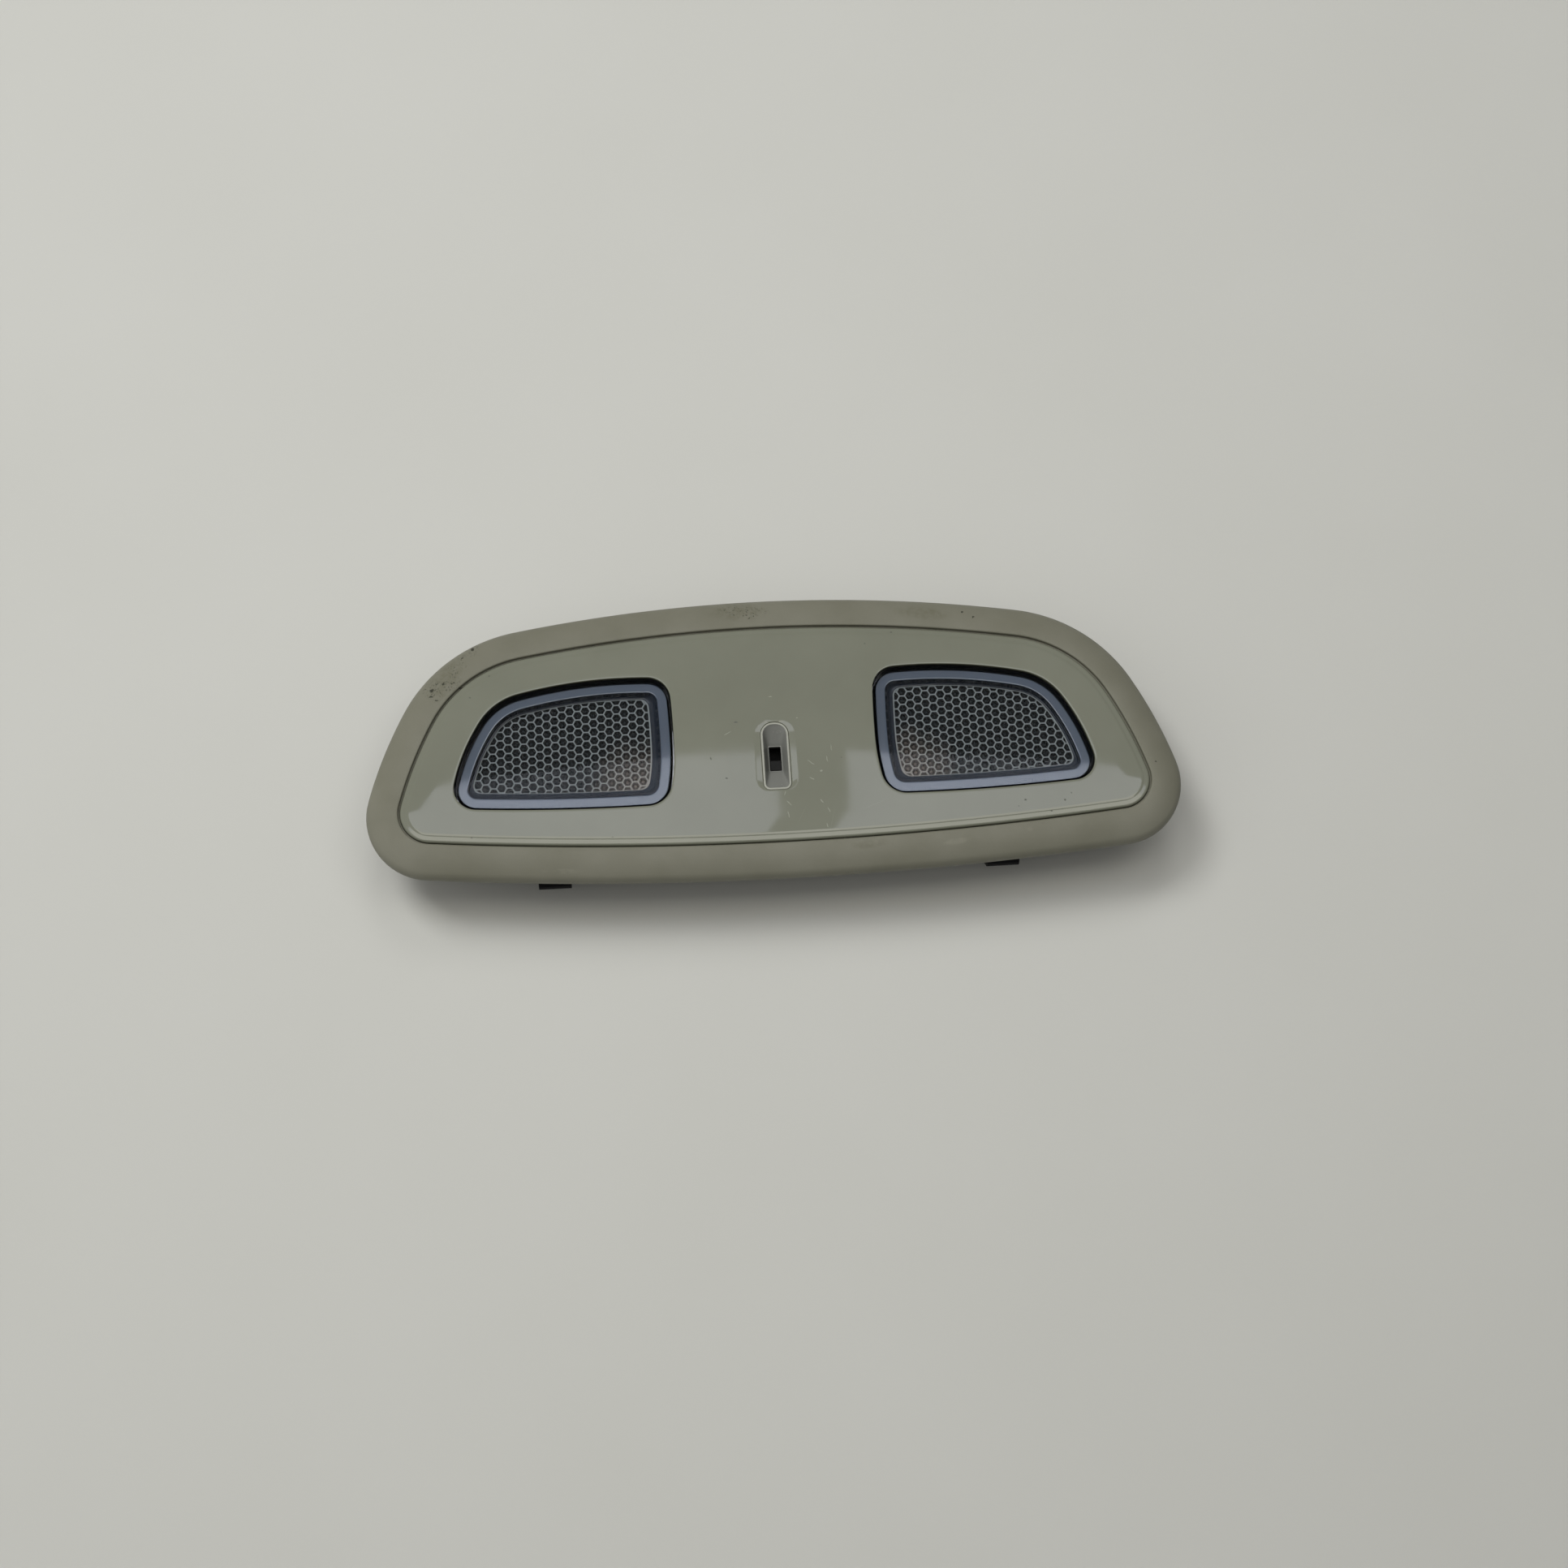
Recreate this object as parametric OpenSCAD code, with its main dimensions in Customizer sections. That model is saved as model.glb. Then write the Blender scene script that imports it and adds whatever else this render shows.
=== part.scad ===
// Roof reading light for a car cabin, lying face up as on a table.
// X runs along the length, Y runs away from the viewer, Z points out of the face.
// The origin is under the middle of the light, on the plane its rear housing rests on.

/* [Which piece] */
// Name of the piece to draw, or all of them

/* [Overall outline] */
// Height of the face above the rear of the housing
face_z = 27; // [26:0.1:29]
// Far edge of the bezel opening, from the middle
far_y = 31.35; // [31:0.05:32]
// Radius of the long far side
far_r = 416.7; // [400:0.1:440]
// Half the angle the far side turns through
far_turn = 9.61; // [9.4:0.01:9.8]
// Radius of the shoulders
shoulder_r = 34.4; // [33:0.1:36]
// Angle the shoulders turn through
shoulder_turn = 51.96; // [51:0.01:53]
// Radius of the slanting ends
end_r = 115.6; // [110:0.1:121]
// Angle the slanting ends turn through
end_turn = 12.5; // [12:0.1:13]
// Radius of the near corners
corner_r = 8.95; // [8.8:0.05:9.4]
// Angle the near corners turn through
corner_turn = 100.4; // [100:0.1:101]

/* [Bezel] */
// Width of the rolled rim seen from the front
rim_w = 9; // [8.6:0.1:9.4]
// Radius of the crown of the rim
crown_r = 14; // [12:0.5:18]
// Radius of the outer edge of the rim
edge_r = 3.2; // [3:0.1:3.6]
// Height of the whole rim
rim_h = 5.6; // [5.4:0.1:6]
// Wall of the rim
rim_t = 2; // [1.8:0.1:2.2]
// Height of the ledge the face panel stands on
ledge_z = 19.5; // [19.2:0.1:19.8]
// Thickness of the ledge
ledge_t = 1.5; // [1.2:0.1:1.8]
// How far the ledge reaches inward
ledge_in = 3; // [2.6:0.1:3.4]

/* [Face panel] */
// Gap between bezel and face panel
panel_gap = 0.5; // [0.4:0.1:0.8]
// Radius of the panel's rounded edge
nose_r = 0.8; // [0.6:0.05:1]
// Width of the sloping shoulder inside that edge
shoulder_w = 1; // [0.8:0.1:1.4]
// Chamfer on the edges of windows and lens covers
edge_break = 0.2; // [0.15:0.05:0.25]
// Thickness of the panel
panel_t = 2.2; // [2:0.1:2.4]
// Depth of the collar round each window
collar_h = 3; // [2.5:0.1:3.2]
// Wall of the collar
collar_t = 1.4; // [1.2:0.1:1.6]

/* [Lens windows] */
// Distance of the inner side from the middle
win_x = 27.879; // [27.5:0.001:28.2]
// Radius of the inner side
win_inner_r = 247.505; // [247:0.001:248]
// Radius of the inner far corner
win_corner_r = 6.57; // [6.4:0.01:6.7]
// Radius of the far side
win_far_r = 129.261; // [129:0.001:129.6]
// Radius of the shoulder
win_shoulder_r = 17.715; // [17.6:0.001:17.8]
// Radius of the outer end
win_end_r = 55.678; // [55.5:0.001:55.8]
// Radius of the outer near corner
win_near_r = 6.299; // [6.2:0.001:6.4]
// Radius of the near side
win_long_r = 537.787; // [537:0.001:538]

/* [Lenses] */
// Gap between window and lens
lens_gap = 0.4; // [0.35:0.05:0.5]
// Step of the lens face below the panel face
lens_step = 0.2; // [0.1:0.05:0.4]
// Thickness of the clear cover
cover_t = 1.4; // [1.2:0.1:1.6]
// Thickness of the skirt under the cover
skirt_t = 0.6; // [0.5:0.05:0.8]
// Depth of the flat band below the face
band_depth = 2.3; // [2.1:0.1:2.6]
// Depth of the ridge tops below the face
comb_depth = 5; // [4.8:0.1:5.2]
// Distance between neighbouring cells
cell_pitch = 2.5; // [2.4:0.01:2.6]
// Width of the ridges between cells
ridge_w = 0.42; // [0.35:0.01:0.55]
// Depth of the cells
cell_depth = 0.8; // [0.6:0.1:1]
// How far a pressed lens moves in
press_travel = 1.2; // [0.8:0.1:1.2]

/* [Slide switch] */
// Width of the finger recess
bowl_w = 7.9; // [7.7:0.1:8.3]
// Length of the finger recess
bowl_l = 19.6; // [19.2:0.1:20]
// Middle of the finger recess along Y
bowl_y = -6.6; // [-6.8:0.1:-6.4]
// Width of the shallow scoop beside the finger recess
scoop_w = 2.4; // [1.8:0.1:2.6]
// Depth of that scoop
scoop_depth = 0.12; // [0.1:0.01:0.14]
// Width of the slot
slot_w = 3.3; // [3.2:0.1:3.5]
// Length of the slot
slot_l = 7; // [6.8:0.1:7.2]
// Length of the slide knob
knob_l = 2.9; // [2.6:0.1:3]

/* [Rear housing] */
// Wall of the rear housing
wall_t = 2; // [1.8:0.1:2.4]
// Radius of the screw shanks
screw_r = 1.45; // [1.3:0.05:1.5]
// Reach of the retaining springs beyond their pads
clip_reach = 7; // [6:0.1:7.4]
// Width of the retaining springs
clip_w = 9; // [8:0.5:10]

/* [Hidden] */

// Outline of the bezel opening: arcs that run into each other, clockwise from the far middle
arc_r = [far_r, shoulder_r, end_r, corner_r];
arc_turn = [far_turn, shoulder_turn, end_turn, corner_turn];
rim_z = face_z - rim_h;
crown_turn = asin((rim_w - 0.4 - edge_r) / (crown_r - edge_r));
housing_z = ledge_z - ledge_t;

// Outline of a lens window: arcs clockwise from the inner side
win_y = -1.968;
win_heading = -90.254;
win_r = [win_inner_r, win_corner_r, win_far_r, win_shoulder_r, win_end_r, win_near_r,
    win_long_r, 7, 60];
win_turn = [3.172, 84.015, 15.969, 44.363, 19.294, 99.289, 5.009, 77.856, 11.034];
win_steps = [2, 10, 8, 8, 6, 10, 4, 10, 4];

cover_z = face_z - lens_step;
band_z = face_z - band_depth;
comb_z = face_z - comb_depth;
frame_z = comb_z - 1.4;
arm_z = frame_z - 0.4;
panel_in_z = face_z - panel_t;
column_pitch = cell_pitch * cos(30);
comb_x = 56.36;
comb_y = -1.9;
board_z = 13.9;
board_t = 1.6;
board_top = board_z + board_t;
slot_y = -6.5;
press_x = 22;
press_y = 8;
lamp_y = -8;
lamp_z = 10.5;
clip_x = 62.6;
shoulder_slope = 10;
near_pad_y = -30.2;
far_pad_y = 27.4;
clip_z = 9.5;
screw_spots = [[22, 24.2], [-22, 24.2], [22, -25], [-22, -25], [95.5, -15], [-95.5, -15]];

function heading(i) = i == 0 ? 0 : heading(i - 1) + arc_turn[i - 1];
function radial(a) = [sin(a), cos(a)];
function joint_at(i) = i == 0 ? [0, far_y] : centre_of(i - 1) + arc_r[i - 1] * radial(heading(i));
function centre_of(i) = joint_at(i) - arc_r[i] * radial(heading(i));
near_heading = heading(4);
near_r = joint_at(4)[0] / sin(180 - near_heading);
near_centre = joint_at(4) - near_r * radial(near_heading);
outline_steps = [6, 10, 4, 12];
near_steps = 5;

// Points of the outline moved outward by d, right half then left half
function half_outline(d) = concat(
    [for (i = [0:3]) for (k = [0:outline_steps[i] - 1])
        centre_of(i) + (arc_r[i] + d) * radial(heading(i) + arc_turn[i] * k / outline_steps[i])],
    [for (k = [0:near_steps - 1]) near_centre
        + (near_r + d) * radial(near_heading + (180 - near_heading) * k / near_steps)],
    [near_centre + (near_r + d) * radial(180)]);
function outline(d) = let (h = half_outline(d), n = len(h)) concat(
    h, [for (k = [n - 2:-1:1]) [-h[k][0], h[k][1]]]);

function win_head(i) = i == 0 ? win_heading : win_head(i - 1) + win_turn[i - 1];
function win_joint(i) = i == 0 ? [win_x, win_y]
    : win_centre(i - 1) + win_r[i - 1] * radial(win_head(i));
function win_centre(i) = win_joint(i) - win_r[i] * radial(win_head(i));
win_centres = [for (i = [0:8]) win_centre(i)];
win_heads = [for (i = [0:8]) win_head(i)];
function window(d) = [for (i = [0:8]) for (k = [0:win_steps[i] - 1])
    win_centres[i] + (win_r[i] + d) * radial(win_heads[i] + win_turn[i] * k / win_steps[i])];

// Inner edge of the flat band, and edge of the visible honeycomb below it
band_in = 3.7;
comb_mid = [57.6, 0.4];
function comb_edge() = [for (p = window(-3.9))
    [comb_mid[0] + (p[0] - comb_mid[0]) * 0.937 + 0.6, comb_mid[1] + (p[1] - comb_mid[1]) * 0.9 + 0.5]];
function at_z(pts, z) = [for (p = pts) [p[0], p[1], z]];
function scaled(pts, c, s) = [for (p = pts) c + s * (p - c)];

// Solid through stacked rings of equally many points, lowest ring first
module loft(rings) {
    m = len(rings);
    n = len(rings[0]);
    polyhedron(
        points = [for (r = rings) for (p = r) p],
        faces = concat(
            [[for (i = [n - 1:-1:0]) i]],
            [[for (i = [0:n - 1]) (m - 1) * n + i]],
            [for (k = [0:m - 2]) for (i = [0:n - 1])
                [k * n + i, k * n + (i + 1) % n, (k + 1) * n + (i + 1) % n, (k + 1) * n + i]]));
}

// Plate with the shape pts between two heights
module plate(pts, z0, z1) {
    translate([0, 0, z0])
        linear_extrude(z1 - z0)
            polygon(pts);
}

// Ring wall between two outlines
module ring(outer, inner, z0, z1) {
    difference() {
        plate(outer, z0, z1);
        plate(inner, z0 - 1, z1 + 1);
    }
}

// Carries a section (x outward from the opening's edge, y up) all the way round the outline
module sweep(section) {
    m = len(section);
    n = len(outline(0));
    polyhedron(
        points = [for (p = section) each at_z(outline(p[0]), p[1])],
        faces = [for (j = [0:m - 1]) for (i = [0:n - 1])
            [j * n + i, j * n + (i + 1) % n, (j + 1) % m * n + (i + 1) % n, (j + 1) % m * n + i]]);
}

// Box with rounded upright edges
module round_block(w, l, r, z0, z1) {
    translate([0, 0, z0])
        linear_extrude(z1 - z0)
            round_rect(w, l, r);
}

module round_rect(w, l, r) {
    polygon(soft_rect(w, l, r));
}

// Points of a rectangle with round corners, clockwise
function soft_rect(w, l, r) = [for (q = [0:3]) for (k = [0:6])
    [(q < 2 ? 1 : -1) * (w / 2 - r), (q == 0 || q == 3 ? 1 : -1) * (l / 2 - r)]
        + r * radial(90 * q + 15 * k)];

module both_sides(left) {
    mirror([left ? 1 : 0, 0, 0])
        children();
}

// Rolled rim: round inner edge, crown, tight outer edge, hollow behind, ledge at the foot
function rim_section() =
    let (
        top = face_z,
        c1 = [0.4, top - crown_r],
        c2 = c1 + (crown_r - edge_r) * [sin(crown_turn), cos(crown_turn)],
        inner_start = asin((rim_t - 0.4) / (crown_r - rim_t)),
        outer = crown_turn,
        rest = 90 - crown_turn)
    concat(
        [for (k = [0:2]) [0.4 - 0.4 * cos(45 * k), top - 0.4 + 0.4 * sin(45 * k)]],
        [for (k = [1:4]) c1 + crown_r * radial(outer * k / 4)],
        [for (k = [1:5]) c2 + edge_r * radial(outer + rest * k / 5)],
        [[rim_w, rim_z], [rim_w - rim_t, rim_z]],
        [for (k = [2:-1:1]) c2 + (edge_r - rim_t) * radial(outer + rest * k / 2)],
        [for (k = [2:-1:0]) c1 + (crown_r - rim_t) * radial(inner_start + (outer - inner_start) * k / 2)],
        [[rim_t, housing_z], [-ledge_in, housing_z], [-ledge_in, ledge_z], [0, ledge_z]]);

module bezel() {
    color([0.47, 0.47, 0.40])
        sweep(rim_section());
}

// Edge of the face panel: skirt, round nose, sloping shoulder, flat face
function panel_section() =
    let (
        u = -panel_gap,
        c = [u - nose_r, face_z - shoulder_w * tan(shoulder_slope) - nose_r * cos(shoulder_slope)])
    concat(
        [[u, ledge_z]],
        [for (k = [0:5]) c + nose_r * radial(90 - (90 - shoulder_slope) * k / 5)],
        [[u - nose_r - shoulder_w, face_z], [u - 5.2, face_z], [u - 5.2, panel_in_z],
            [u - 2, panel_in_z], [u - 2, ledge_z]]);

module panel() {
    color([0.45, 0.46, 0.40])
        difference() {
            union() {
                sweep(panel_section());
                difference() {
                    plate(outline(-5), panel_in_z, face_z);
                    for (left = [false, true]) {
                        both_sides(left)
                            loft([at_z(window(0), panel_in_z - 1), at_z(window(0), face_z - edge_break),
                                at_z(window(edge_break + 0.1), face_z + 0.1)]);
                    }
                }
                for (left = [false, true]) {
                    both_sides(left)
                        ring(window(collar_t), window(0), panel_in_z - collar_h, panel_in_z + 0.5);
                }
                for (s = screw_spots) {
                    translate([s[0], s[1], housing_z])
                        cylinder(r = 3, h = panel_in_z + 0.5 - housing_z, $fn = 48);
                }
            }
            translate([0, bowl_y, 0])
                round_block(bowl_w, bowl_l, 2.6, panel_in_z - 1, face_z + 1);
            translate([0, bowl_y, 0])
                loft([
                    at_z(soft_rect(bowl_w - 0.2, bowl_l - 0.2, 2.5), face_z - scoop_depth - 0.005),
                    at_z(soft_rect(bowl_w + 2 * scoop_w, bowl_l + 0.8, 4.8), face_z + 0.01)]);
            for (s = screw_spots) {
                translate([s[0], s[1], housing_z - 1])
                    cylinder(r = screw_r + 0.05, h = panel_in_z + 0.2 - housing_z, $fn = 48);
            }
        }
}

// Finger recess: rim, slopes on all four sides down to the slot, flange behind the panel
module switch_bowl() {
    floor_z = face_z - 3.4;
    color([0.42, 0.43, 0.40])
        difference() {
            union() {
                translate([0, bowl_y, 0])
                    round_block(bowl_w - 0.16, bowl_l - 0.16, 2.5, floor_z - 1.2, face_z - scoop_depth);
                translate([0, bowl_y, 0])
                    round_block(bowl_w + 5, bowl_l + 5, 3.5, floor_z - 1.2, panel_in_z);
            }
            hull() {
                translate([0, bowl_y, 0])
                    round_block(bowl_w - 1, bowl_l - 1, 2.2, face_z - 0.1, face_z + 0.2);
                translate([0, slot_y, 0])
                    round_block(slot_w + 0.6, slot_l + 0.6, 0.5, floor_z, floor_z + 0.05);
            }
            translate([0, slot_y, floor_z - 2])
                linear_extrude(4)
                    square([slot_w, slot_l], center = true);
        }
}

switch_h = face_z - 4.7 - board_top;

module slide_switch() {
    color([0.08, 0.08, 0.09])
        difference() {
            translate([-4, slot_y - 6, board_top])
                cube([8, 12, switch_h]);
            translate([-2.9, slot_y - 4.9, board_top + 2.6])
                cube([5.8, 9.8, 2.6]);
            translate([-slot_w / 2 - 0.2, slot_y - slot_l / 2 - 0.2, board_top + 4])
                cube([slot_w + 0.4, slot_l + 0.4, switch_h]);
        }
}

module slide_knob() {
    color([0.16, 0.16, 0.17])
        union() {
            translate([-slot_w / 2 + 0.1, slot_y - slot_l / 2 + 0.05, board_top + 4.5])
                cube([slot_w - 0.2, knob_l, face_z - 3.1 - board_top - 4.5]);
            translate([-2.7, slot_y - 4.75, board_top + 2.8])
                cube([5.4, 5.2, 2.2]);
        }
}

module slide_terminals() {
    color([0.72, 0.66, 0.45])
        for (side = [-1, 1], k = [-1, 0, 1]) {
            translate([side * 4.9 - 0.9, slot_y + 3.6 * k - 0.4, board_top])
                cube([1.8, 0.8, 0.35]);
        }
}

module circuit_board() {
    color([0.10, 0.30, 0.16])
        difference() {
            translate([0, 0, board_z])
                linear_extrude(board_t)
                    polygon([[-12, -22], [12, -22], [12, 1.5], [27, 1.5], [27, 19.5],
                        [-27, 19.5], [-27, 1.5], [-12, 1.5]]);
            for (p = [[8.5, -18.5], [-8.5, -18.5], [17.5, 16], [-17.5, 16]]) {
                translate([p[0], p[1], board_z - 1])
                    cylinder(r = 1.1, h = board_t + 2, $fn = 32);
            }
        }
}

module press_switch(left) {
    color([0.09, 0.09, 0.10])
        both_sides(left)
            translate([press_x, press_y, board_top])
                difference() {
                    translate([-3, -3, 0])
                        cube([6, 6, 2.8]);
                    translate([0, 0, 0.6])
                        cylinder(r = 1.78, h = 3, $fn = 64);
                }
}

module plunger(left) {
    color([0.80, 0.80, 0.76])
        both_sides(left)
            translate([press_x, press_y, board_top + 2])
                union() {
                    cylinder(r = 1.7, h = arm_z - board_top - 2, $fn = 64);
                    translate([0, 0, arm_z - board_top - 2.5])
                        cylinder(r = 2.4, h = 0.5, $fn = 64);
                }
}

module rear_housing() {
    color([0.13, 0.13, 0.14])
        difference() {
            union() {
                ring(outline(-1), outline(-1 - wall_t), 1, housing_z);
                plate(outline(-1), 0, wall_t);
                for (s = screw_spots) {
                    translate([s[0], s[1], 1])
                        cylinder(r = 4.2, h = housing_z - 1, $fn = 48);
                }
                for (side = [-1, 1]) {
                    translate([side * clip_x - 6.5, near_pad_y, 1])
                        cube([13, 3.5, 15.5]);
                    translate([side * clip_x - 6.5, far_pad_y - 3.5, 1])
                        cube([13, 3.5, 15.5]);
                    translate([side * clip_x, near_pad_y, clip_z])
                        rotate([90, 0, 0])
                            cylinder(r = 1.5, h = 1.6, $fn = 32);
                    translate([side * clip_x, far_pad_y, clip_z])
                        rotate([-90, 0, 0])
                            cylinder(r = 1.5, h = 1.6, $fn = 32);
                }
                for (p = [[8.5, -18.5], [-8.5, -18.5], [17.5, 16], [-17.5, 16]]) {
                    translate([p[0], p[1], 1])
                        cylinder(r = 2.4, h = board_z - 1, $fn = 32);
                    translate([p[0], p[1], 1])
                        cylinder(r = 1, h = board_top, $fn = 32);
                }
                for (left = [false, true]) {
                    both_sides(left)
                        lamp_rests();
                }
            }
            for (s = screw_spots) {
                translate([s[0], s[1], -1])
                    cylinder(r = screw_r + 0.15, h = housing_z + 2, $fn = 48);
                translate([s[0], s[1], -1])
                    cylinder(r = 3.3, h = 5.5, $fn = 48);
            }
            for (side = [-1, 1], k = [0:5]) {
                translate([side * (45 + 6 * k) - 1.1, -9, -1])
                    cube([2.2, 16, wall_t + 2]);
            }
            translate([-8.2, 5.3, -1])
                cube([16.4, 9.4, wall_t + 2]);
        }
}

// Posts under the reflector flange and the saddle for the lamp holder
module lamp_rests() {
    for (i = [1, 3, 5, 7]) {
        p = win_centres[i] + (win_r[i] + 0.8) * radial(win_heads[i] + win_turn[i] / 2);
        translate([p[0], p[1], 1])
            cylinder(r = 1.5, h = reflector_top - 2.1, $fn = 32);
    }
    difference() {
        translate([18.5, lamp_y - 5, 1])
            cube([6, 10, lamp_z - 4]);
        translate([17, lamp_y, lamp_z])
            rotate([0, 90, 0])
                cylinder(r = 6.1, h = 9, $fn = 64);
    }
}

reflector_top = 18.9;
bowl_mid = [56, -2];

// Bowl that narrows towards the back in rounded steps, wall 1 mm, flat flange on top
module reflector(left) {
    levels = 6;
    color([0.86, 0.87, 0.88])
        both_sides(left)
            difference() {
                union() {
                    loft([for (k = [0:levels]) at_z(
                        scaled(window(-1.6), bowl_mid, 0.52 + 0.48 * sin(90 * k / levels)),
                        4.5 + (reflector_top - 4.5) * (1 - cos(90 * k / levels)))]);
                    plate(window(2.2), reflector_top - 1.1, reflector_top);
                }
                loft([for (k = [0:levels]) at_z(
                    scaled(window(-2.6), bowl_mid, 0.52 + 0.48 * sin(90 * k / levels)),
                    5.5 + (reflector_top - 5.4) * (1 - cos(90 * k / levels)))]);
                translate([20, lamp_y, lamp_z])
                    rotate([0, 90, 0])
                        cylinder(r = 5.2, h = 22, $fn = 64);
            }
}

module bulb(left) {
    color([0.86, 0.90, 0.92])
        both_sides(left)
            translate([28, lamp_y, lamp_z])
                union() {
                    translate([-4, -3.8, -1.3])
                        cube([5, 7.6, 2.6]);
                    rotate([0, 90, 0])
                        rotate_extrude($fn = 64)
                            polygon(concat([[0, 0], [3.2, 0], [4.2, 2.4], [4.6, 5], [4.6, 13]],
                                [for (k = [1:6]) [4.6 * cos(15 * k), 13 + 4.6 * sin(15 * k)]]));
                }
}

module bulb_holder(left) {
    color([0.12, 0.12, 0.13])
        both_sides(left)
            translate([16.5, lamp_y, lamp_z])
                difference() {
                    union() {
                        rotate([0, 90, 0])
                            cylinder(r = 6, h = 9, $fn = 64);
                        rotate([0, 90, 0])
                            cylinder(r = 4.9, h = 11.3, $fn = 64);
                    }
                    translate([7.4, -3.9, -1.4])
                        cube([5, 7.8, 2.8]);
                    for (side = [-1, 1]) {
                        translate([-1, side * 3 - 1, -0.5])
                            cube([5, 2, 1]);
                    }
                }
}

module bulb_contacts(left) {
    color([0.80, 0.66, 0.36])
        both_sides(left)
            for (side = [-1, 1]) {
                translate([13, lamp_y + side * 3 - 0.95, lamp_z - 0.4])
                    cube([7.4, 1.9, 0.8]);
            }
}

// Clear cover: flat face with a chamfered edge and a skirt all round
module cover(left) {
    color([0.62, 0.70, 0.80, 0.5])
        both_sides(left)
            difference() {
                loft([at_z(window(-lens_gap), comb_z + 0.6), at_z(window(-lens_gap), cover_z - edge_break),
                    at_z(window(-lens_gap - edge_break), cover_z)]);
                plate(window(-lens_gap - skirt_t), comb_z - 1, cover_z - cover_t);
            }
}

// Opaque frame under the cover: flat band, sloping pocket, foot that carries the skirt
module lens_frame(left) {
    color([0.34, 0.38, 0.44])
        both_sides(left)
            difference() {
                union() {
                    plate(window(-lens_gap - skirt_t - 0.05), comb_z - 1.4, band_z);
                    plate(window(-lens_gap - 0.1), frame_z, comb_z + 0.6);
                    translate([press_x - 3.5, press_y - 3, arm_z])
                        cube([win_x - press_x + 5, 6, 1.4]);
                }
                loft([at_z(comb_edge(), comb_z - 3), at_z(comb_edge(), comb_z + 0.35),
                    at_z(scaled(comb_edge(), comb_mid, 1.012), comb_z + 0.8),
                    at_z(window(-band_in), band_z), at_z(window(-band_in), band_z + 1)]);
                plate(window(-2.9), frame_z - 3, comb_z);
            }
}

// Honeycomb plate: hexagonal cells sunk into the face, on columns along Y
module honeycomb(left) {
    inset = window(-2.95 - cell_pitch / 2);
    cell_r = (cell_pitch - ridge_w) / sqrt(3);
    cells = [for (i = [-13:14]) for (j = [-8:8])
        let (p = [comb_x + i * column_pitch, comb_y + (j + abs(i % 2) / 2) * cell_pitch])
            if (inside(p, inset)) p];
    color([0.30, 0.33, 0.38])
        both_sides(left)
            difference() {
                plate(window(-2.95), frame_z + 0.1, comb_z);
                translate([0, 0, comb_z - cell_depth])
                    linear_extrude(cell_depth + 1)
                        polygon(
                            points = [for (c = cells) for (k = [0:5]) c + cell_r * [cos(60 * k), sin(60 * k)]],
                            paths = [for (m = [0:len(cells) - 1]) [for (k = [0:5]) 6 * m + k]]);
            }
}

// True where p lies inside the clockwise convex loop pts
function inside(p, pts) = min([for (i = [0:len(pts) - 1])
    let (a = pts[i], b = pts[(i + 1) % len(pts)])
        (b[1] - a[1]) * (p[0] - a[0]) - (b[0] - a[0]) * (p[1] - a[1])]) > 0;

module connector_socket() {
    color([0.88, 0.87, 0.82])
        translate([0, 10, 0])
            difference() {
                union() {
                    translate([-8, -4.5, 0.4])
                        cube([16, 9, board_z - 0.4]);
                    translate([-2, -5.1, 3])
                        cube([4, 0.7, 6]);
                }
                translate([-6.8, -3.3, -1])
                    cube([13.6, 6.6, 10.6]);
            }
}

module connector_pins() {
    color([0.80, 0.72, 0.45])
        for (k = [-2:2]) {
            translate([2.4 * k - 0.3, 9.7, 5.4])
                cube([0.6, 0.6, 4.2]);
        }
}

// Bent strip seen from the end: points on its middle line, thickness t
function strip_side(pts, t) = [for (i = [0:len(pts) - 1])
    let (
        a = i > 0 ? unit(pts[i] - pts[i - 1]) : unit(pts[1] - pts[0]),
        b = i < len(pts) - 1 ? unit(pts[i + 1] - pts[i]) : a,
        n = unit([-(a[1] + b[1]), a[0] + b[0]]))
    pts[i] + n * (t / 2) / (n * [-a[1], a[0]])];
function unit(v) = v / norm(v);

module clip(pad_y, out, side) {
    path = [[0.42, 14.6], [0.42, 3.6], [0.9, 2.7], [1.9, 2.5], [2.6, 3.1],
        [clip_reach - 0.6, 10.2], [clip_reach - 0.4, 11.2], [clip_reach - 0.7, 12],
        [clip_reach - 3, 15.4], [clip_reach - 3.2, 16.6]];
    edge = concat(strip_side(path, 0.8),
        [for (i = [len(path) - 1:-1:0]) strip_side(path, -0.8)[i]]);
    color([0.07, 0.07, 0.08])
        difference() {
            translate([side * clip_x - clip_w / 2, 0, 0])
                rotate([90, 0, 90])
                    linear_extrude(clip_w)
                        polygon([for (p = edge) [pad_y + out * p[0], p[1]]]);
            translate([side * clip_x, pad_y - out, clip_z])
                rotate([-90 * out, 0, 0])
                    cylinder(r = 1.6, h = 3, $fn = 32);
        }
}

module housing_screws() {
    color([0.55, 0.55, 0.56])
        for (s = screw_spots) {
            translate([s[0], s[1], 0])
                difference() {
                    union() {
                        translate([0, 0, 2.4])
                            cylinder(r = 2.9, h = 2.1, $fn = 48);
                        translate([0, 0, 4])
                            cylinder(r = screw_r, h = 19, $fn = 48);
                    }
                    translate([-2, -0.35, 1])
                        cube([4, 0.7, 2.4]);
                    translate([-0.35, -2, 1])
                        cube([0.7, 4, 2.4]);
                }
        }
}

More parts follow.
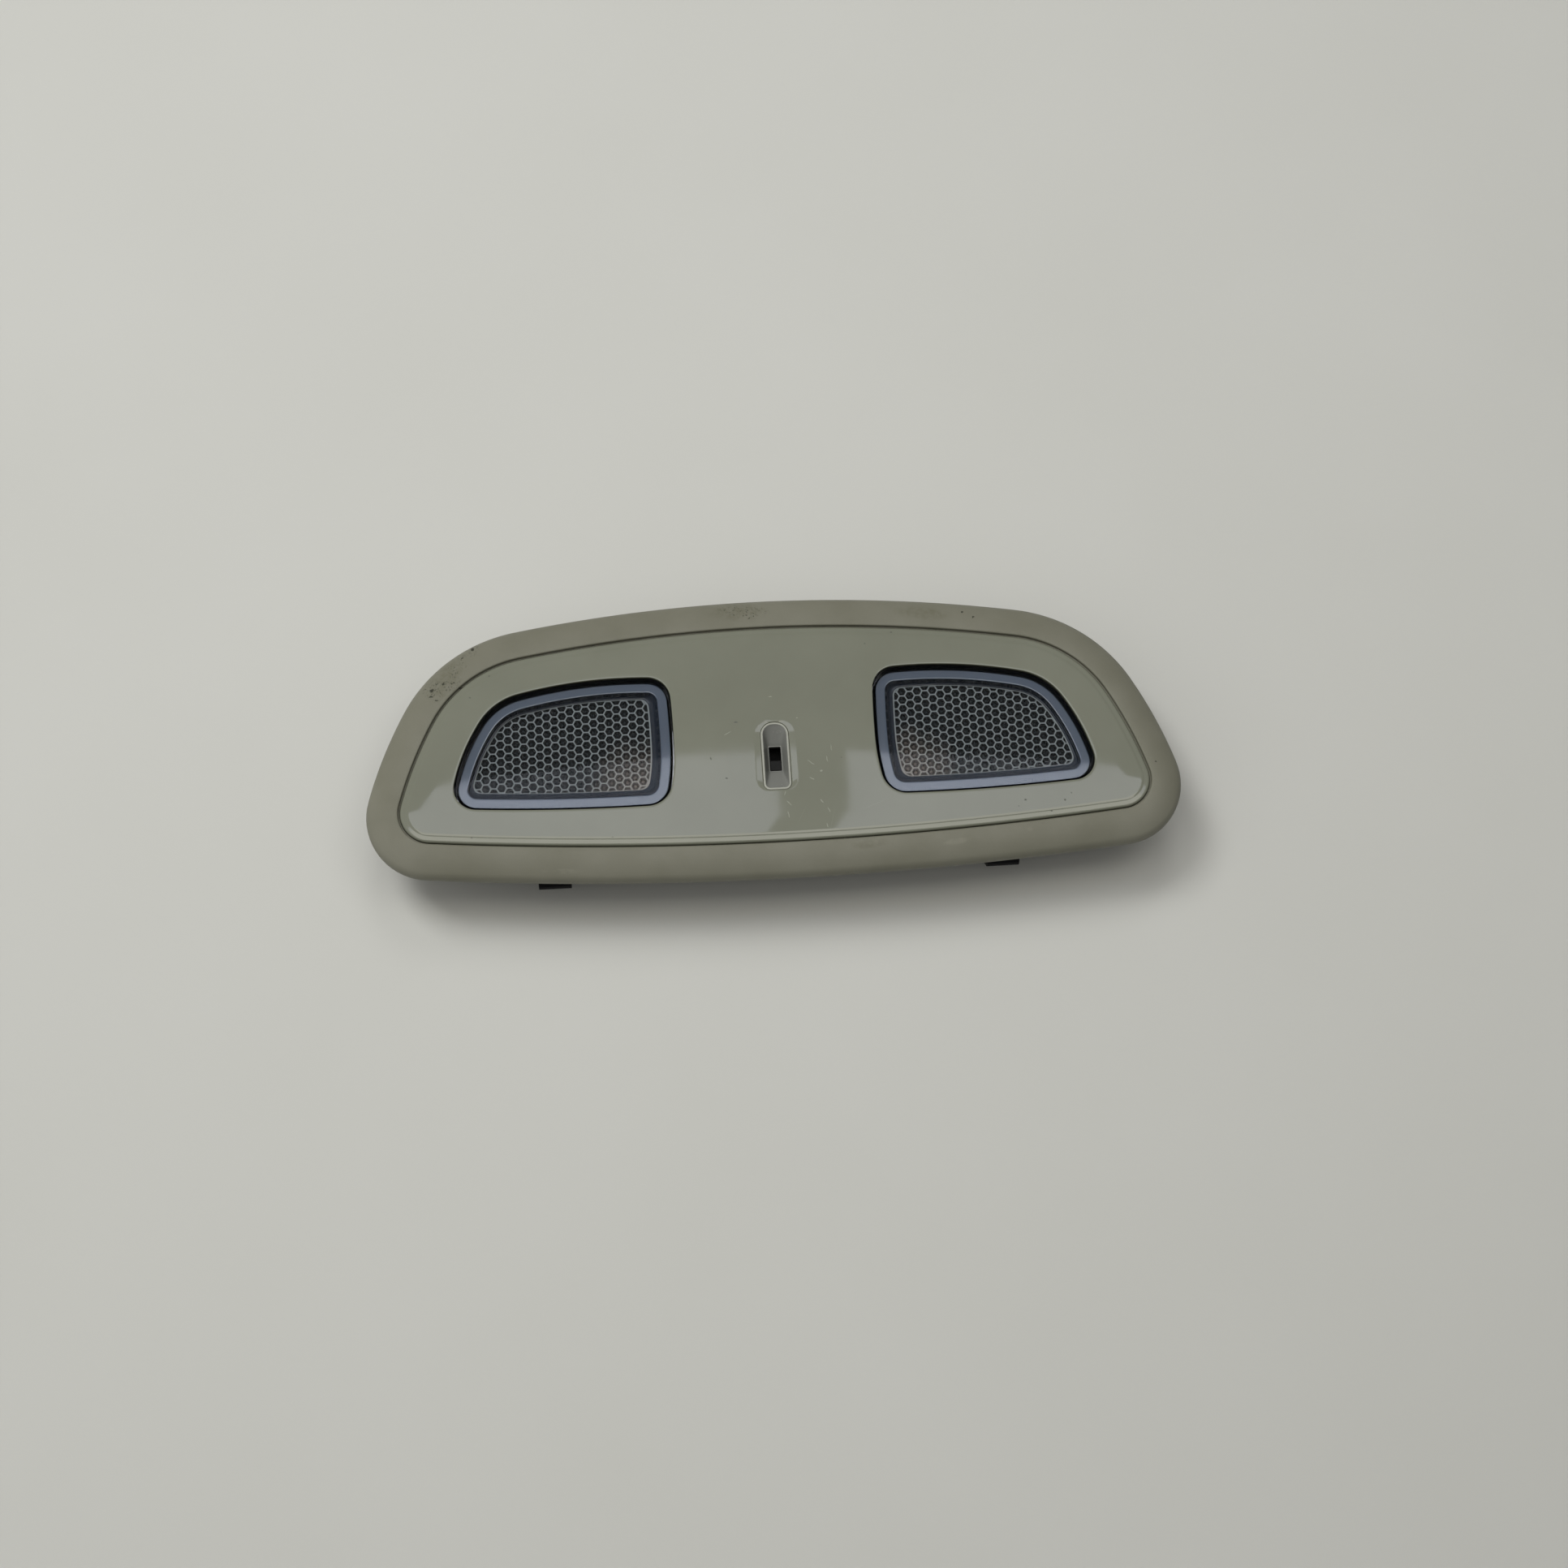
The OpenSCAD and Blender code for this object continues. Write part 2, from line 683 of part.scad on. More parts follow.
bezel();
panel();
switch_bowl();
slide_switch();
slide_terminals();
slide_knob();
circuit_board();
rear_housing();
reflector(true);  // reflector_left
reflector(false);  // reflector_right
bulb(true);  // bulb_left
bulb(false);  // bulb_right
bulb_holder(true);  // bulb_holder_left
bulb_holder(false);  // bulb_holder_right
bulb_contacts(true);  // bulb_contacts_left
bulb_contacts(false);  // bulb_contacts_right
press_switch(true);  // press_switch_left
press_switch(false);  // press_switch_right
plunger(true);  // plunger_left
plunger(false);  // plunger_right
cover(true);  // cover_left
cover(false);  // cover_right
lens_frame(true);  // lens_frame_left
lens_frame(false);  // lens_frame_right
honeycomb(true);  // honeycomb_left
honeycomb(false);  // honeycomb_right
connector_socket();
connector_pins();
clip(near_pad_y, -1, -1);  // clip_near_left
clip(near_pad_y, -1, 1);  // clip_near_right
clip(far_pad_y, 1, -1);  // clip_far_left
clip(far_pad_y, 1, 1);  // clip_far_right
housing_screws();
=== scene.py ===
"""Roof reading light for a car cabin: finished pieces, materials, light and camera."""
import math

import bmesh
import bpy
import numpy as np
from mathutils import Euler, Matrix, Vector
from mathutils.geometry import delaunay_2d_cdt


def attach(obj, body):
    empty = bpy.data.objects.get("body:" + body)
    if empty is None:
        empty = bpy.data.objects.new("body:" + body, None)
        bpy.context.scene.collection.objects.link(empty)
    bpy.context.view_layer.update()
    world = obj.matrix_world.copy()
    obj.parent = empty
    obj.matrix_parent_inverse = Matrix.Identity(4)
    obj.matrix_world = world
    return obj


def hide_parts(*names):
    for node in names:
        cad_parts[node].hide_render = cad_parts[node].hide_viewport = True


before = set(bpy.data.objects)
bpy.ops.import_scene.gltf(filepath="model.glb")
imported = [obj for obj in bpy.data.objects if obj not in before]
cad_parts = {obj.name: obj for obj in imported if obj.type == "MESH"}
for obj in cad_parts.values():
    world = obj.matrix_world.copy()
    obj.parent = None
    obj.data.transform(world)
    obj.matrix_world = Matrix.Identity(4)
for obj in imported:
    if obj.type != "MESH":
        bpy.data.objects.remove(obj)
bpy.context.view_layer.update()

MM = 0.001

# ---------------------------------------------------------------- sizes in mm, as in the part's source
# heights: face, foot of the rim, top of the ledge, top of the rear housing
FACE_Z, RIM_Z, LEDGE_Z, HOUSING_Z = 27.0, 21.4, 19.5, 18.0
# the rim's width and wall, radii of its crown and outer edge, and how far the ledge reaches inward
RIM_W, RIM_T, CROWN_R, EDGE_R, LEDGE_IN = 9.0, 2.0, 14.0, 3.2, 3.0
# the panel's gap to the bezel and its thickness; depth and wall of the collar round each window
PANEL_GAP, PANEL_T, COLLAR_H, COLLAR_T = 0.5, 2.2, 3.0, 1.4
PANEL_UNDER = FACE_Z - PANEL_T
# arcs of half the bezel's opening, from the far middle to the near side, and of the right window
FAR_Y, OUTLINE_R, OUTLINE_TURN = 31.35, (416.7, 34.4, 115.6, 8.95), (9.61, 51.96, 12.5, 100.4)
WINDOW_START, WINDOW_HEADING = (27.879, -1.968), -90.254
WINDOW_R = (247.505, 6.57, 129.261, 17.715, 55.678, 6.299, 537.787, 7.0, 60.0)
WINDOW_TURN = (3.172, 84.015, 15.969, 44.363, 19.294, 99.289, 5.009, 77.856, 11.034)
LENS_GAP, LENS_STEP, COVER_T, SKIRT_T = 0.4, 0.2, 1.4, 0.6
# the lens below its cover: flat band, ridge tops of the honeycomb, and the band's inner edge
BAND_Z, COMB_Z, BAND_IN = FACE_Z - 2.3, FACE_Z - 5.0, 3.7
SKIRT_FOOT = COMB_Z + 0.6
FRAME_Z, ARM_Z = COMB_Z - 1.4, COMB_Z - 1.8
COMB_MID, COMB_SHIFT, COMB_SCALE = (57.6, 0.4), (0.6, 0.5), (0.937, 0.9)
CELL_PITCH, CELL_DEPTH, CELL_ORIGIN = 2.5, 0.8, (56.36, -1.9)
BOWL_W, BOWL_L, BOWL_Y, SLOT_W, SLOT_L, SLOT_Y, KNOB_L = 7.9, 19.6, -6.6, 3.3, 7.0, -6.5, 2.9
BOARD_TOP, PRESS_X, PRESS_Y, SCREW_R = 15.5, 22.0, 8.0, 1.45
SCREWS = [(sx * x, y) for x, y in ((22, 24.2), (22, -25), (95.5, -15)) for sx in (1, -1)]


# ---------------------------------------------------------------- outlines
def heading(angle):
    """Unit vector that points away from the viewer at 0 degrees and to the right at 90."""
    return np.array([math.sin(math.radians(angle)), math.cos(math.radians(angle))])


def chain(start, angle, radii, turns, offset, spacing):
    """Arcs that run into each other clockwise, moved outward by offset, and where they end."""
    point, points = np.array(start, float), []
    for radius, turn in zip(radii, turns):
        centre = point - radius * heading(angle)
        steps = max(3, math.ceil(radius * math.radians(turn) / spacing))
        points += [centre + (radius + offset) * heading(angle + turn * k / steps) for k in range(steps)]
        angle += turn
        point = centre + radius * heading(angle)
    return points, point, angle


def outline(offset, spacing=0.9):
    """The bezel's opening, moved outward by offset, clockwise from the far middle."""
    half, point, angle = chain((0, FAR_Y), 0, OUTLINE_R, OUTLINE_TURN, offset, spacing)
    near_r = point[0] / math.sin(math.radians(180 - angle))
    half += chain(point, angle, (near_r,), (180 - angle,), offset, 2 * spacing)[0]
    last = point - near_r * heading(angle) + (near_r + offset) * heading(180)
    return np.array(half + [last] + [(-p[0], p[1]) for p in half[:0:-1]])


def window(offset, side=1, spacing=0.55):
    """A lens window, moved outward by offset: side 1 is the right one, -1 the left one."""
    points = np.array(chain(WINDOW_START, WINDOW_HEADING, WINDOW_R, WINDOW_TURN, offset, spacing)[0])
    return points if side > 0 else (points * (-1, 1))[::-1]


def comb_edge(grow=1.0, side=1):
    """Edge of the visible honeycomb, grown about its middle."""
    right = (window(-3.9) - COMB_MID) * COMB_SCALE * grow + COMB_MID + COMB_SHIFT
    return right if side > 0 else (right * (-1, 1))[::-1]


def soft_rect(width, length, radius, middle=(0.0, BOWL_Y), steps=8, straight=8, far_radius=None):
    """Rectangle with round corners, clockwise, with points along its straight sides as well.

    far_radius, where given, rounds the two corners away from the viewer.
    """
    corners = []
    for turn, (sx, sy) in enumerate(((1, 1), (1, -1), (-1, -1), (-1, 1))):
        r = far_radius if far_radius and sy > 0 else radius
        corner = np.array([sx * (width / 2 - r), sy * (length / 2 - r)]) + middle
        corners.append([corner + r * heading(90 * (turn + k / steps)) for k in range(steps + 1)])
    points = []
    for here, after in zip(corners, corners[1:] + corners[:1]):
        points += here + [here[-1] + (after[0] - here[-1]) * k / (straight + 1) for k in range(1,
            straight + 1)]
    return np.array(points)


# ---------------------------------------------------------------- meshes
class Solid:
    """Collects rings, caps and fills in mm, then makes one mesh of them in metres."""

    def __init__(self):
        self.points, self.faces, self.finishes = [], [], []

    def ring(self, loop, z):
        """Adds a loop of points at height z, or at a height for each point, and returns its indices."""
        start = len(self.points)
        heights = np.broadcast_to(z, len(loop))
        self.points += [(p[0], p[1], h) for p, h in zip(loop, heights)]
        return list(range(start, start + len(loop)))

    def wall(self, rings, finish=0):
        """Joins rings of equally many points. Clockwise rings that go up or outward face outward."""
        for a, b in zip(rings, rings[1:]):
            for k in range(len(a)):
                n = (k + 1) % len(a)
                self.faces.append((a[k], b[k], b[n], a[n]))
                self.finishes.append(finish)

    def cap(self, ring, up=True, finish=0):
        """Closes a ring with one face that looks up or down."""
        self.faces.append(tuple(reversed(ring)) if up else tuple(ring))
        self.finishes.append(finish)

    def fill(self, outer, holes, up=True, finish=0):
        """Fills between an outer ring and holes that lie at one height."""
        loops = [outer] + holes
        index = [i for loop in loops for i in loop]
        flat = [Vector(self.points[i][:2]) for i in index]
        edges, start = [], 0
        for loop in loops:
            edges += [(start + k, start + (k + 1) % len(loop)) for k in range(len(loop))]
            start += len(loop)
        made, _, faces, origin, _, _ = delaunay_2d_cdt(flat, edges, [], 0, 1e-6, True)
        rim, *shapes = [np.array([self.points[i][:2] for i in loop]) for loop in loops]
        for face in faces:
            middle = np.mean([made[i][:] for i in face], axis=0)
            if not inside(middle, rim) or any(inside(middle, s) for s in shapes):
                continue
            ids = [index[origin[i][0]] for i in face]
            a, b, c = (np.array(self.points[i][:2]) for i in ids[:3])
            turns_left = np.cross(b - a, c - b) > 0
            self.faces.append(tuple(ids) if turns_left == up else tuple(reversed(ids)))
            self.finishes.append(finish)

    def box(self, low, high, finish=0):
        """Adds a plain block between two opposite corners."""
        corners = [(x, y, z) for z in (low[2], high[2]) for y in (low[1], high[1]) for x in (low[0], high[0])]
        base = len(self.points)
        self.points += corners
        for quad in ((0, 2, 3, 1), (4, 5, 7, 6), (0, 1, 5, 4), (2, 6, 7, 3), (0, 4, 6, 2), (1, 3, 7, 5)):
            self.faces.append(tuple(base + i for i in quad))
            self.finishes.append(finish)

    def make(self, name, finishes, smooth_below=40):
        """Makes the object, shaded smooth over edges that turn by less than smooth_below degrees."""
        mesh = bpy.data.meshes.new(name)
        mesh.from_pydata([tuple(c * MM for c in p) for p in self.points], [], self.faces)
        for material in finishes:
            mesh.materials.append(material)
        mesh.polygons.foreach_set("material_index", self.finishes)
        mesh.update()
        mesh.validate()
        mesh.shade_smooth()
        mesh.set_sharp_from_angle(angle=math.radians(smooth_below))
        piece = bpy.data.objects.new(name, mesh)
        bpy.context.scene.collection.objects.link(piece)
        return piece


def inside(point, shape):
    """True where the point lies inside the closed shape."""
    x, y = shape[:, 0], shape[:, 1]
    x2, y2 = np.roll(x, -1), np.roll(y, -1)
    crosses = (y > point[1]) != (y2 > point[1])
    with np.errstate(divide="ignore", invalid="ignore"):
        at = x + (point[1] - y) * (x2 - x) / (y2 - y)
    return bool(np.count_nonzero(crosses & (point[0] < at)) % 2)


def arc(centre, radius, start, end, steps):
    """Points of an arc in a section: angles from straight up, turning outward."""
    return [np.array(centre) + radius * heading(start + (end - start) * k / steps) for k in range(steps + 1)]


def finish_piece(piece, body, nodes):
    """Hands a finished piece over: it rides on its body and stands for its CAD nodes."""
    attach(piece, body)
    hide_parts(*nodes)


# ---------------------------------------------------------------- materials
def linear(code):
    """A colour written as sRGB hex, turned to the linear values that shaders use."""
    parts = [int(code[i:i + 2], 16) / 255 for i in (1, 3, 5)]
    return tuple(p / 12.92 if p <= 0.04045 else ((p + 0.055) / 1.055) ** 2.4 for p in parts) + (1.0,)


def add(tree, kind, inputs=None, **settings):
    """Adds a node with its settings, its input values and its links."""
    made = tree.nodes.new(kind)
    for name, value in settings.items():
        setattr(made, name, value)
    for key, value in (inputs or {}).items():
        if isinstance(value, bpy.types.NodeSocket):
            tree.links.new(value, made.inputs[key])
        else:
            made.inputs[key].default_value = value
    return made


def new_material(name):
    """An empty material with its tree and Object coordinates in mm."""
    material = bpy.data.materials.new(name)
    material.use_nodes = True
    tree = material.node_tree
    tree.nodes.clear()
    place = add(tree, "ShaderNodeTexCoord").outputs["Object"]
    in_mm = add(tree, "ShaderNodeVectorMath", {0: place, "Scale": 1000.0}, operation="SCALE").outputs[0]
    return material, tree, in_mm


def noise(tree, where, size, detail=2.0, roughness=0.5):
    """Noise whose features are about size mm wide."""
    return add(tree, "ShaderNodeTexNoise", {
        "Vector": where, "Scale": 1.0 / size, "Detail": detail, "Roughness": roughness}).outputs["Fac"]


def ramp(tree, value, low, high, out_low=0.0, out_high=1.0):
    """Takes a value from one range to another, clamped."""
    return add(tree, "ShaderNodeMapRange", {
        "Value": value, "From Min": low, "From Max": high, "To Min": out_low, "To Max": out_high}).outputs[0]


def math_node(tree, operation, a, b, c=0.0):
    """One step of arithmetic in a material."""
    return add(tree, "ShaderNodeMath", {0: a, 1: b, 2: c}, operation=operation).outputs[0]


def blend_colour(tree, amount, a, b):
    """Colour a where the amount is 0, colour b where it is 1."""
    return add(tree, "ShaderNodeMix", {0: amount, 6: a, 7: b}, data_type="RGBA").outputs[2]


def bump(tree, height, depth, normal=None):
    """Bump of the given depth in mm from a height of 0 to 1."""
    inputs = {"Height": height, "Strength": 1.0, "Distance": depth * MM}
    if normal is not None:
        inputs["Normal"] = normal
    return add(tree, "ShaderNodeBump", inputs).outputs[0]


def surface(tree, shader):
    """Puts a shader on the material's surface."""
    add(tree, "ShaderNodeOutputMaterial", {"Surface": shader})


def marks(tree, where, spots):
    """1 inside each mark, given as x, y, length, width and turn in mm and degrees; 0 elsewhere."""
    total = None
    for x, y, length, width, turn in spots:
        placed = add(tree, "ShaderNodeMapping", {
            "Vector": where, "Location": (x, y, 0), "Rotation": (0, 0, math.radians(turn)),
            "Scale": (length / 2, width / 2, 1000)}, vector_type="TEXTURE").outputs[0]
        reach = add(tree, "ShaderNodeVectorMath", {0: placed}, operation="LENGTH").outputs["Value"]
        mark = ramp(tree, reach, 1.0, 0.55)
        total = mark if total is None else math_node(tree, "MAXIMUM", total, mark)
    return total


def wobble(tree, where, size, reach):
    """Coordinates pushed about by up to reach mm, so that marks get ragged edges."""
    push = add(tree, "ShaderNodeTexNoise", {"Vector": where, "Scale": 1.0 / size,
        "Detail": 3.0}).outputs["Color"]
    centred = add(tree, "ShaderNodeVectorMath", {0: push, 1: (0.5, 0.5, 0.5)},
        operation="SUBTRACT").outputs[0]
    scaled = add(tree, "ShaderNodeVectorMath", {0: centred, "Scale": 2 * reach}, operation="SCALE").outputs[0]
    return add(tree, "ShaderNodeVectorMath", {0: where, 1: scaled}, operation="ADD").outputs[0]


def moulded(name, code, roughness, grain=0.4, depth=0.02, shade=0.06, ior=1.5, coat=0.0):
    """Injection-moulded plastic: an even colour with faint clouding, and the fine grain of the mould."""
    material, tree, where = new_material(name)
    cloud = ramp(tree, noise(tree, where, 14.0, 3.0), 0.3, 0.7)
    base = linear(code)
    dark = tuple(c * (1 - shade) for c in base[:3]) + (1.0,)
    light = tuple(min(1.0, c * (1 + shade)) for c in base[:3]) + (1.0,)
    rough = ramp(tree, noise(tree, where, 3.0), 0.3, 0.7, roughness * 0.9, roughness * 1.1)
    shader = add(tree, "ShaderNodeBsdfPrincipled", {
        "Base Color": blend_colour(tree, cloud, dark, light), "Roughness": rough, "IOR": ior,
        "Coat Weight": coat, "Normal": bump(tree, noise(tree, where, grain, 2.0), depth)})
    surface(tree, shader.outputs[0])
    return material


def grained_abs():
    """ABS moulded in a spark-eroded tool: a soft, dull olive grey with a sandy grain.

    Dark grime sits in the grain at the left shoulder, a smudge on the far side, pale rubs on the near side.
    """
    material, tree, where = new_material("grained_abs_olive_grey")
    grain = noise(tree, where, 0.35, 3.0, 0.6)
    cloud = ramp(tree, noise(tree, where, 16.0, 3.0), 0.3, 0.7)
    colour = blend_colour(tree, cloud, linear("#6f6e60"), linear("#78776a"))
    ragged = wobble(tree, where, 1.6, 1.1)
    grime_area = marks(tree, where, [
        (-83, 29, 7, 5, 30), (-87, 24, 8, 6, 40), (-93, 17.5, 8, 8, 60), (-88.5, 19, 7, 5, 50),
        (-7, 36.5, 16, 5, -4)])
    specks = ramp(tree, noise(tree, ragged, 0.6, 4.0, 0.7), 0.565, 0.63)
    specks = math_node(tree, "MULTIPLY", specks, grime_area)
    stain = math_node(tree, "MULTIPLY", ramp(tree, noise(tree, where, 2.2, 4.0, 0.65), 0.38, 0.72), marks(
        tree, where, [(-8, 36.4, 20, 7, -4), (-90, 20, 16, 9, 50), (44, 33.5, 18, 5, -8),
        (24, -33, 12, 3, 3)]))
    spots = marks(tree, ragged, [
        (-82.6, 29.2, 1.1, 0.8, 0), (-85.3, 26.4, 1.2, 0.8, 20), (-93.9, 17.2, 1.5, 0.9, 10),
        (-94, 15.4, 1.3, 0.9, 0), (-90.9, 19.1, 1.0, 0.7, 0), (-84, 31.0, 1.0, 0.7, 0),
        (-86, 17.6, 0.9, 0.7, 0), (-92.5, 14.2, 0.8, 0.6, 0),
        (55.5, 33.3, 0.9, 0.7, 0), (58.2, 31.6, 0.6, 0.5, 0), (105.5, -14, 0.8, 0.6, 0),
        (-5, 34.4, 0.8, 0.5, 0), (-3.6, 34.8, 0.5, 0.4, 0), (-8.5, 38, 0.6, 0.4, 0)])
    rubs = math_node(tree, "MULTIPLY", ramp(tree, noise(tree, ragged, 3.0, 2.0), 0.42, 0.66), marks(
        tree, where, [(24, -32.2, 8, 2.2, 5), (48, -33.5, 10, 2, 5), (-60, -36, 12, 1.5, -3),
        (70, -31, 8, 1.5, 6)]))
    colour = blend_colour(tree, math_node(tree, "MULTIPLY", stain, 0.45), colour, linear("#56543f"))
    colour = blend_colour(tree, math_node(tree, "MULTIPLY", rubs, 0.28), colour, linear("#8f8e80"))
    colour = blend_colour(tree, math_node(tree, "MULTIPLY", math_node(tree, "MAXIMUM", specks, spots), 0.95),
                          colour, linear("#2c2c22"))
    shader = add(tree, "ShaderNodeBsdfPrincipled", {
        "Base Color": colour, "IOR": 1.5,
        "Roughness": ramp(tree, noise(tree, where, 1.2, 3.0), 0.3, 0.7, 0.50, 0.58),
        "Normal": bump(tree, grain, 0.035)})
    surface(tree, shader.outputs[0])
    return material


def polished_abs():
    """ABS moulded against a polished tool: a hard, mirror-like gloss over the same olive grey.

    Handling has left dark specks, pale nicks and short hairline scratches round the switch.
    """
    material, tree, where = new_material("polished_abs_olive_grey")
    cloud = ramp(tree, noise(tree, where, 22.0, 3.0), 0.3, 0.7)
    colour = blend_colour(tree, cloud, linear("#707264"), linear("#757769"))
    ragged = wobble(tree, where, 1.2, 0.25)
    dark = marks(tree, ragged, [
        (-10.5, 3.6, 1.2, 0.5, 0), (-14, -12.4, 0.7, 0.4, 0), (-18, -6.5, 0.4, 1.0, 10),
        (34.7, 28.0, 0.7, 0.4, 0), (27, 25.0, 0.5, 0.4, 0), (68, -22.8, 0.7, 0.5, 0),
        (79, -23.4, 0.6, 0.6, 0), (75, -26.4, 0.6, 0.5, 0), (81, -21.5, 0.5, 0.4, 0),
        (66, -24.5, 0.4, 0.4, 0), (-84, -25.6, 0.6, 0.5, 0), (-78, 20.5, 0.5, 0.4, 0),
        (-83.5, 14.5, 0.7, 0.4, 0), (-46, -27.4, 0.5, 0.3, 0), (-72, 24.2, 0.5, 0.3, 0),
        (18, -8, 0.4, 0.3, 0)])
    pale = marks(tree, ragged, [
        (12.2, -11.6, 0.9, 0.6, 20), (1.8, -17.5, 0.3, 1.5, -20), (2.8, -20.4, 0.35, 2.4, 40),
        (11.8, -20.2, 0.5, 1.7, 30), (13.6, -22.8, 0.3, 2.0, 20), (12.8, -27.2, 0.35, 1.5, 5),
        (9.5, -9.0, 3.0, 0.3, -35), (14, -8.2, 0.25, 2.2, 8), (2.4, -23.6, 0.3, 2.2, 10),
        (9.5, -13.6, 1.8, 0.35, -30), (-0.5, 10.6, 1.2, 0.35, 0), (6.5, 4.0, 0.5, 0.3, 0),
        (15.5, -5, 0.25, 2.4, 5), (-13, 0.5, 2.6, 0.25, 25)])
    hairlines = math_node(tree, "MULTIPLY", marks(tree, where, [
        (14.2, -26, 9, 0.12, 75), (6, -24, 7, 0.10, 62), (26, -22, 8, 0.10, 20), (-30, 12, 14, 0.10, 8),
        (72, -26, 9, 0.10, -12), (-62, 26, 10, 0.10, 15)]), 0.5)
    colour = blend_colour(tree, math_node(tree, "MULTIPLY", dark, 0.75), colour, linear("#26281f"))
    scratched = math_node(tree, "MAXIMUM", pale, hairlines)
    colour = blend_colour(tree, math_node(tree, "MULTIPLY", scratched, 0.25), colour, linear("#a9ab9c"))
    haze = ramp(tree, noise(tree, where, 9.0, 4.0, 0.6), 0.35, 0.75, 0.03, 0.055)
    rough = math_node(tree, "MAXIMUM", haze, ramp(tree, math_node(tree, "MAXIMUM", pale, dark), 0, 1, 0, 0.5))
    shader = add(tree, "ShaderNodeBsdfPrincipled", {"Base Color": colour, "IOR": 1.6, "Roughness": rough})
    surface(tree, shader.outputs[0])
    return material


def clear_polycarbonate():
    """Clear polycarbonate off a polished tool: a glassy face that mirrors more at a slant."""
    material, tree, where = new_material("clear_polycarbonate")
    haze = ramp(tree, noise(tree, where, 6.0, 3.0), 0.3, 0.7, 0.01, 0.025)
    clear = add(tree, "ShaderNodeBsdfTransparent", {"Color": linear("#fcfdfe")})
    gloss = add(tree, "ShaderNodeBsdfGlossy", {"Color": (1.0, 1.0, 1.0, 1.0), "Roughness": haze})
    slant = add(tree, "ShaderNodeLayerWeight", {"Blend": 0.5}).outputs["Facing"]
    share = ramp(tree, math_node(tree, "POWER", slant, 5.0), 0.0, 1.0, 0.007, 0.85)
    surface(tree, add(tree, "ShaderNodeMixShader", {
        0: share, 1: clear.outputs[0], 2: gloss.outputs[0]}).outputs[0])
    return material


def smoke_comb():
    """Smoke polycarbonate moulded as a honeycomb: dark wells, domes with a faint glint, pale ridges.

    The colour goes by height in the cell as painted light and shade: wells near black and slopes dark as
    painted shade, domes a little lighter as a painted glint, ridge tops pale as painted light. Towards the
    inner near corner a brownish painted reflection of the lamp behind lightens all of them.
    """
    material, tree, where = new_material("smoke_polycarbonate_honeycomb_painted_light")
    parts = add(tree, "ShaderNodeSeparateXYZ", {0: where})
    height = parts.outputs["Z"]
    across = math_node(tree, "ABSOLUTE", parts.outputs["X"], 0.0)
    lit = add(tree, "ShaderNodeCombineXYZ", {"X": across, "Y": parts.outputs["Y"]}).outputs[0]
    away = add(tree, "ShaderNodeVectorMath", {0: lit, 1: (38.0, -13.0, 0.0)},
        operation="DISTANCE").outputs["Value"]
    # painted reflection of the lamp behind: brownish, strongest at the inner near corner
    lamp_reflection = ramp(tree, math_node(tree, "ADD", away, math_node(
        tree, "MULTIPLY", noise(tree, where, 5.0), 6.0)), 18.0, 4.0)
    well = blend_colour(tree, lamp_reflection, linear("#040506"), linear("#3c352f"))
    dome = blend_colour(tree, lamp_reflection, linear("#181d20"), linear("#6f655d"))
    slope = blend_colour(tree, lamp_reflection, linear("#101315"), linear("#57514c"))
    ridge = blend_colour(tree, lamp_reflection, linear("#7c8182"), linear("#948f88"))
    # painted shade and light by height in the cell: wells darkest, ridge tops palest
    colour = blend_colour(tree, ramp(tree, height, COMB_Z - 0.75, COMB_Z - 0.45), well, dome)
    colour = blend_colour(tree, ramp(tree, height, COMB_Z - 0.32, COMB_Z - 0.18), colour, slope)
    colour = blend_colour(tree, ramp(tree, height, COMB_Z - 0.06, COMB_Z - 0.02), colour, ridge)
    shader = add(tree, "ShaderNodeBsdfPrincipled", {
        "Base Color": colour, "Roughness": ramp(tree, noise(tree, where, 1.0), 0.3, 0.7, 0.2, 0.3),
        "IOR": 1.24})
    surface(tree, shader.outputs[0])
    return material


def metallised():
    """Polycarbonate with aluminium evaporated on it: bright, with a slight haze."""
    material, tree, where = new_material("aluminised_polycarbonate")
    shader = add(tree, "ShaderNodeBsdfPrincipled", {
        "Base Color": blend_colour(tree, noise(tree, where, 8.0), linear("#d3d5d8"), linear("#dddfe1")),
        "Metallic": 1.0, "Roughness": ramp(tree, noise(tree, where, 2.0), 0.3, 0.7, 0.12, 0.2)})
    surface(tree, shader.outputs[0])
    return material


def metal(name, light, dark, roughness, size):
    """Bare or plated sheet metal: a metal sheen broken by faint drawing marks."""
    material, tree, where = new_material(name)
    drawn = noise(tree, where, size, 4.0, 0.6)
    shader = add(tree, "ShaderNodeBsdfPrincipled", {
        "Base Color": blend_colour(tree, ramp(tree, drawn, 0.3, 0.7), linear(dark), linear(light)),
        "Metallic": 1.0, "Roughness": ramp(tree, drawn, 0.3, 0.7, roughness * 0.8, roughness * 1.2),
        "Normal": bump(tree, drawn, 0.01)})
    surface(tree, shader.outputs[0])
    return material


def lamp_glass():
    """Blown glass of the lamps: clear and smooth, with the least green."""
    material, tree, where = new_material("blown_lamp_glass")
    glass = add(tree, "ShaderNodeBsdfPrincipled", {
        "Base Color": linear("#eef4f2"), "Roughness": ramp(
            tree, noise(tree, where, 4.0), 0.3, 0.7, 0.01, 0.04),
        "IOR": 1.5, "Transmission Weight": 1.0})
    surface(tree, glass.outputs[0])
    return material


bezel_finish = grained_abs()
panel_finish = polished_abs()
# ABS off a satin tool: a dull, greyer surface without grain
recess_finish = moulded("satin_abs_mid_grey", "#767772", 0.25, grain=0.5, depth=0.006)
# its lip, painted paler than the recess: a painted highlight where the rounded lip catches the light
lip_painted_highlight = moulded("satin_abs_lip_painted_highlight", "#a1a297", 0.2, grain=0.5, depth=0.004)
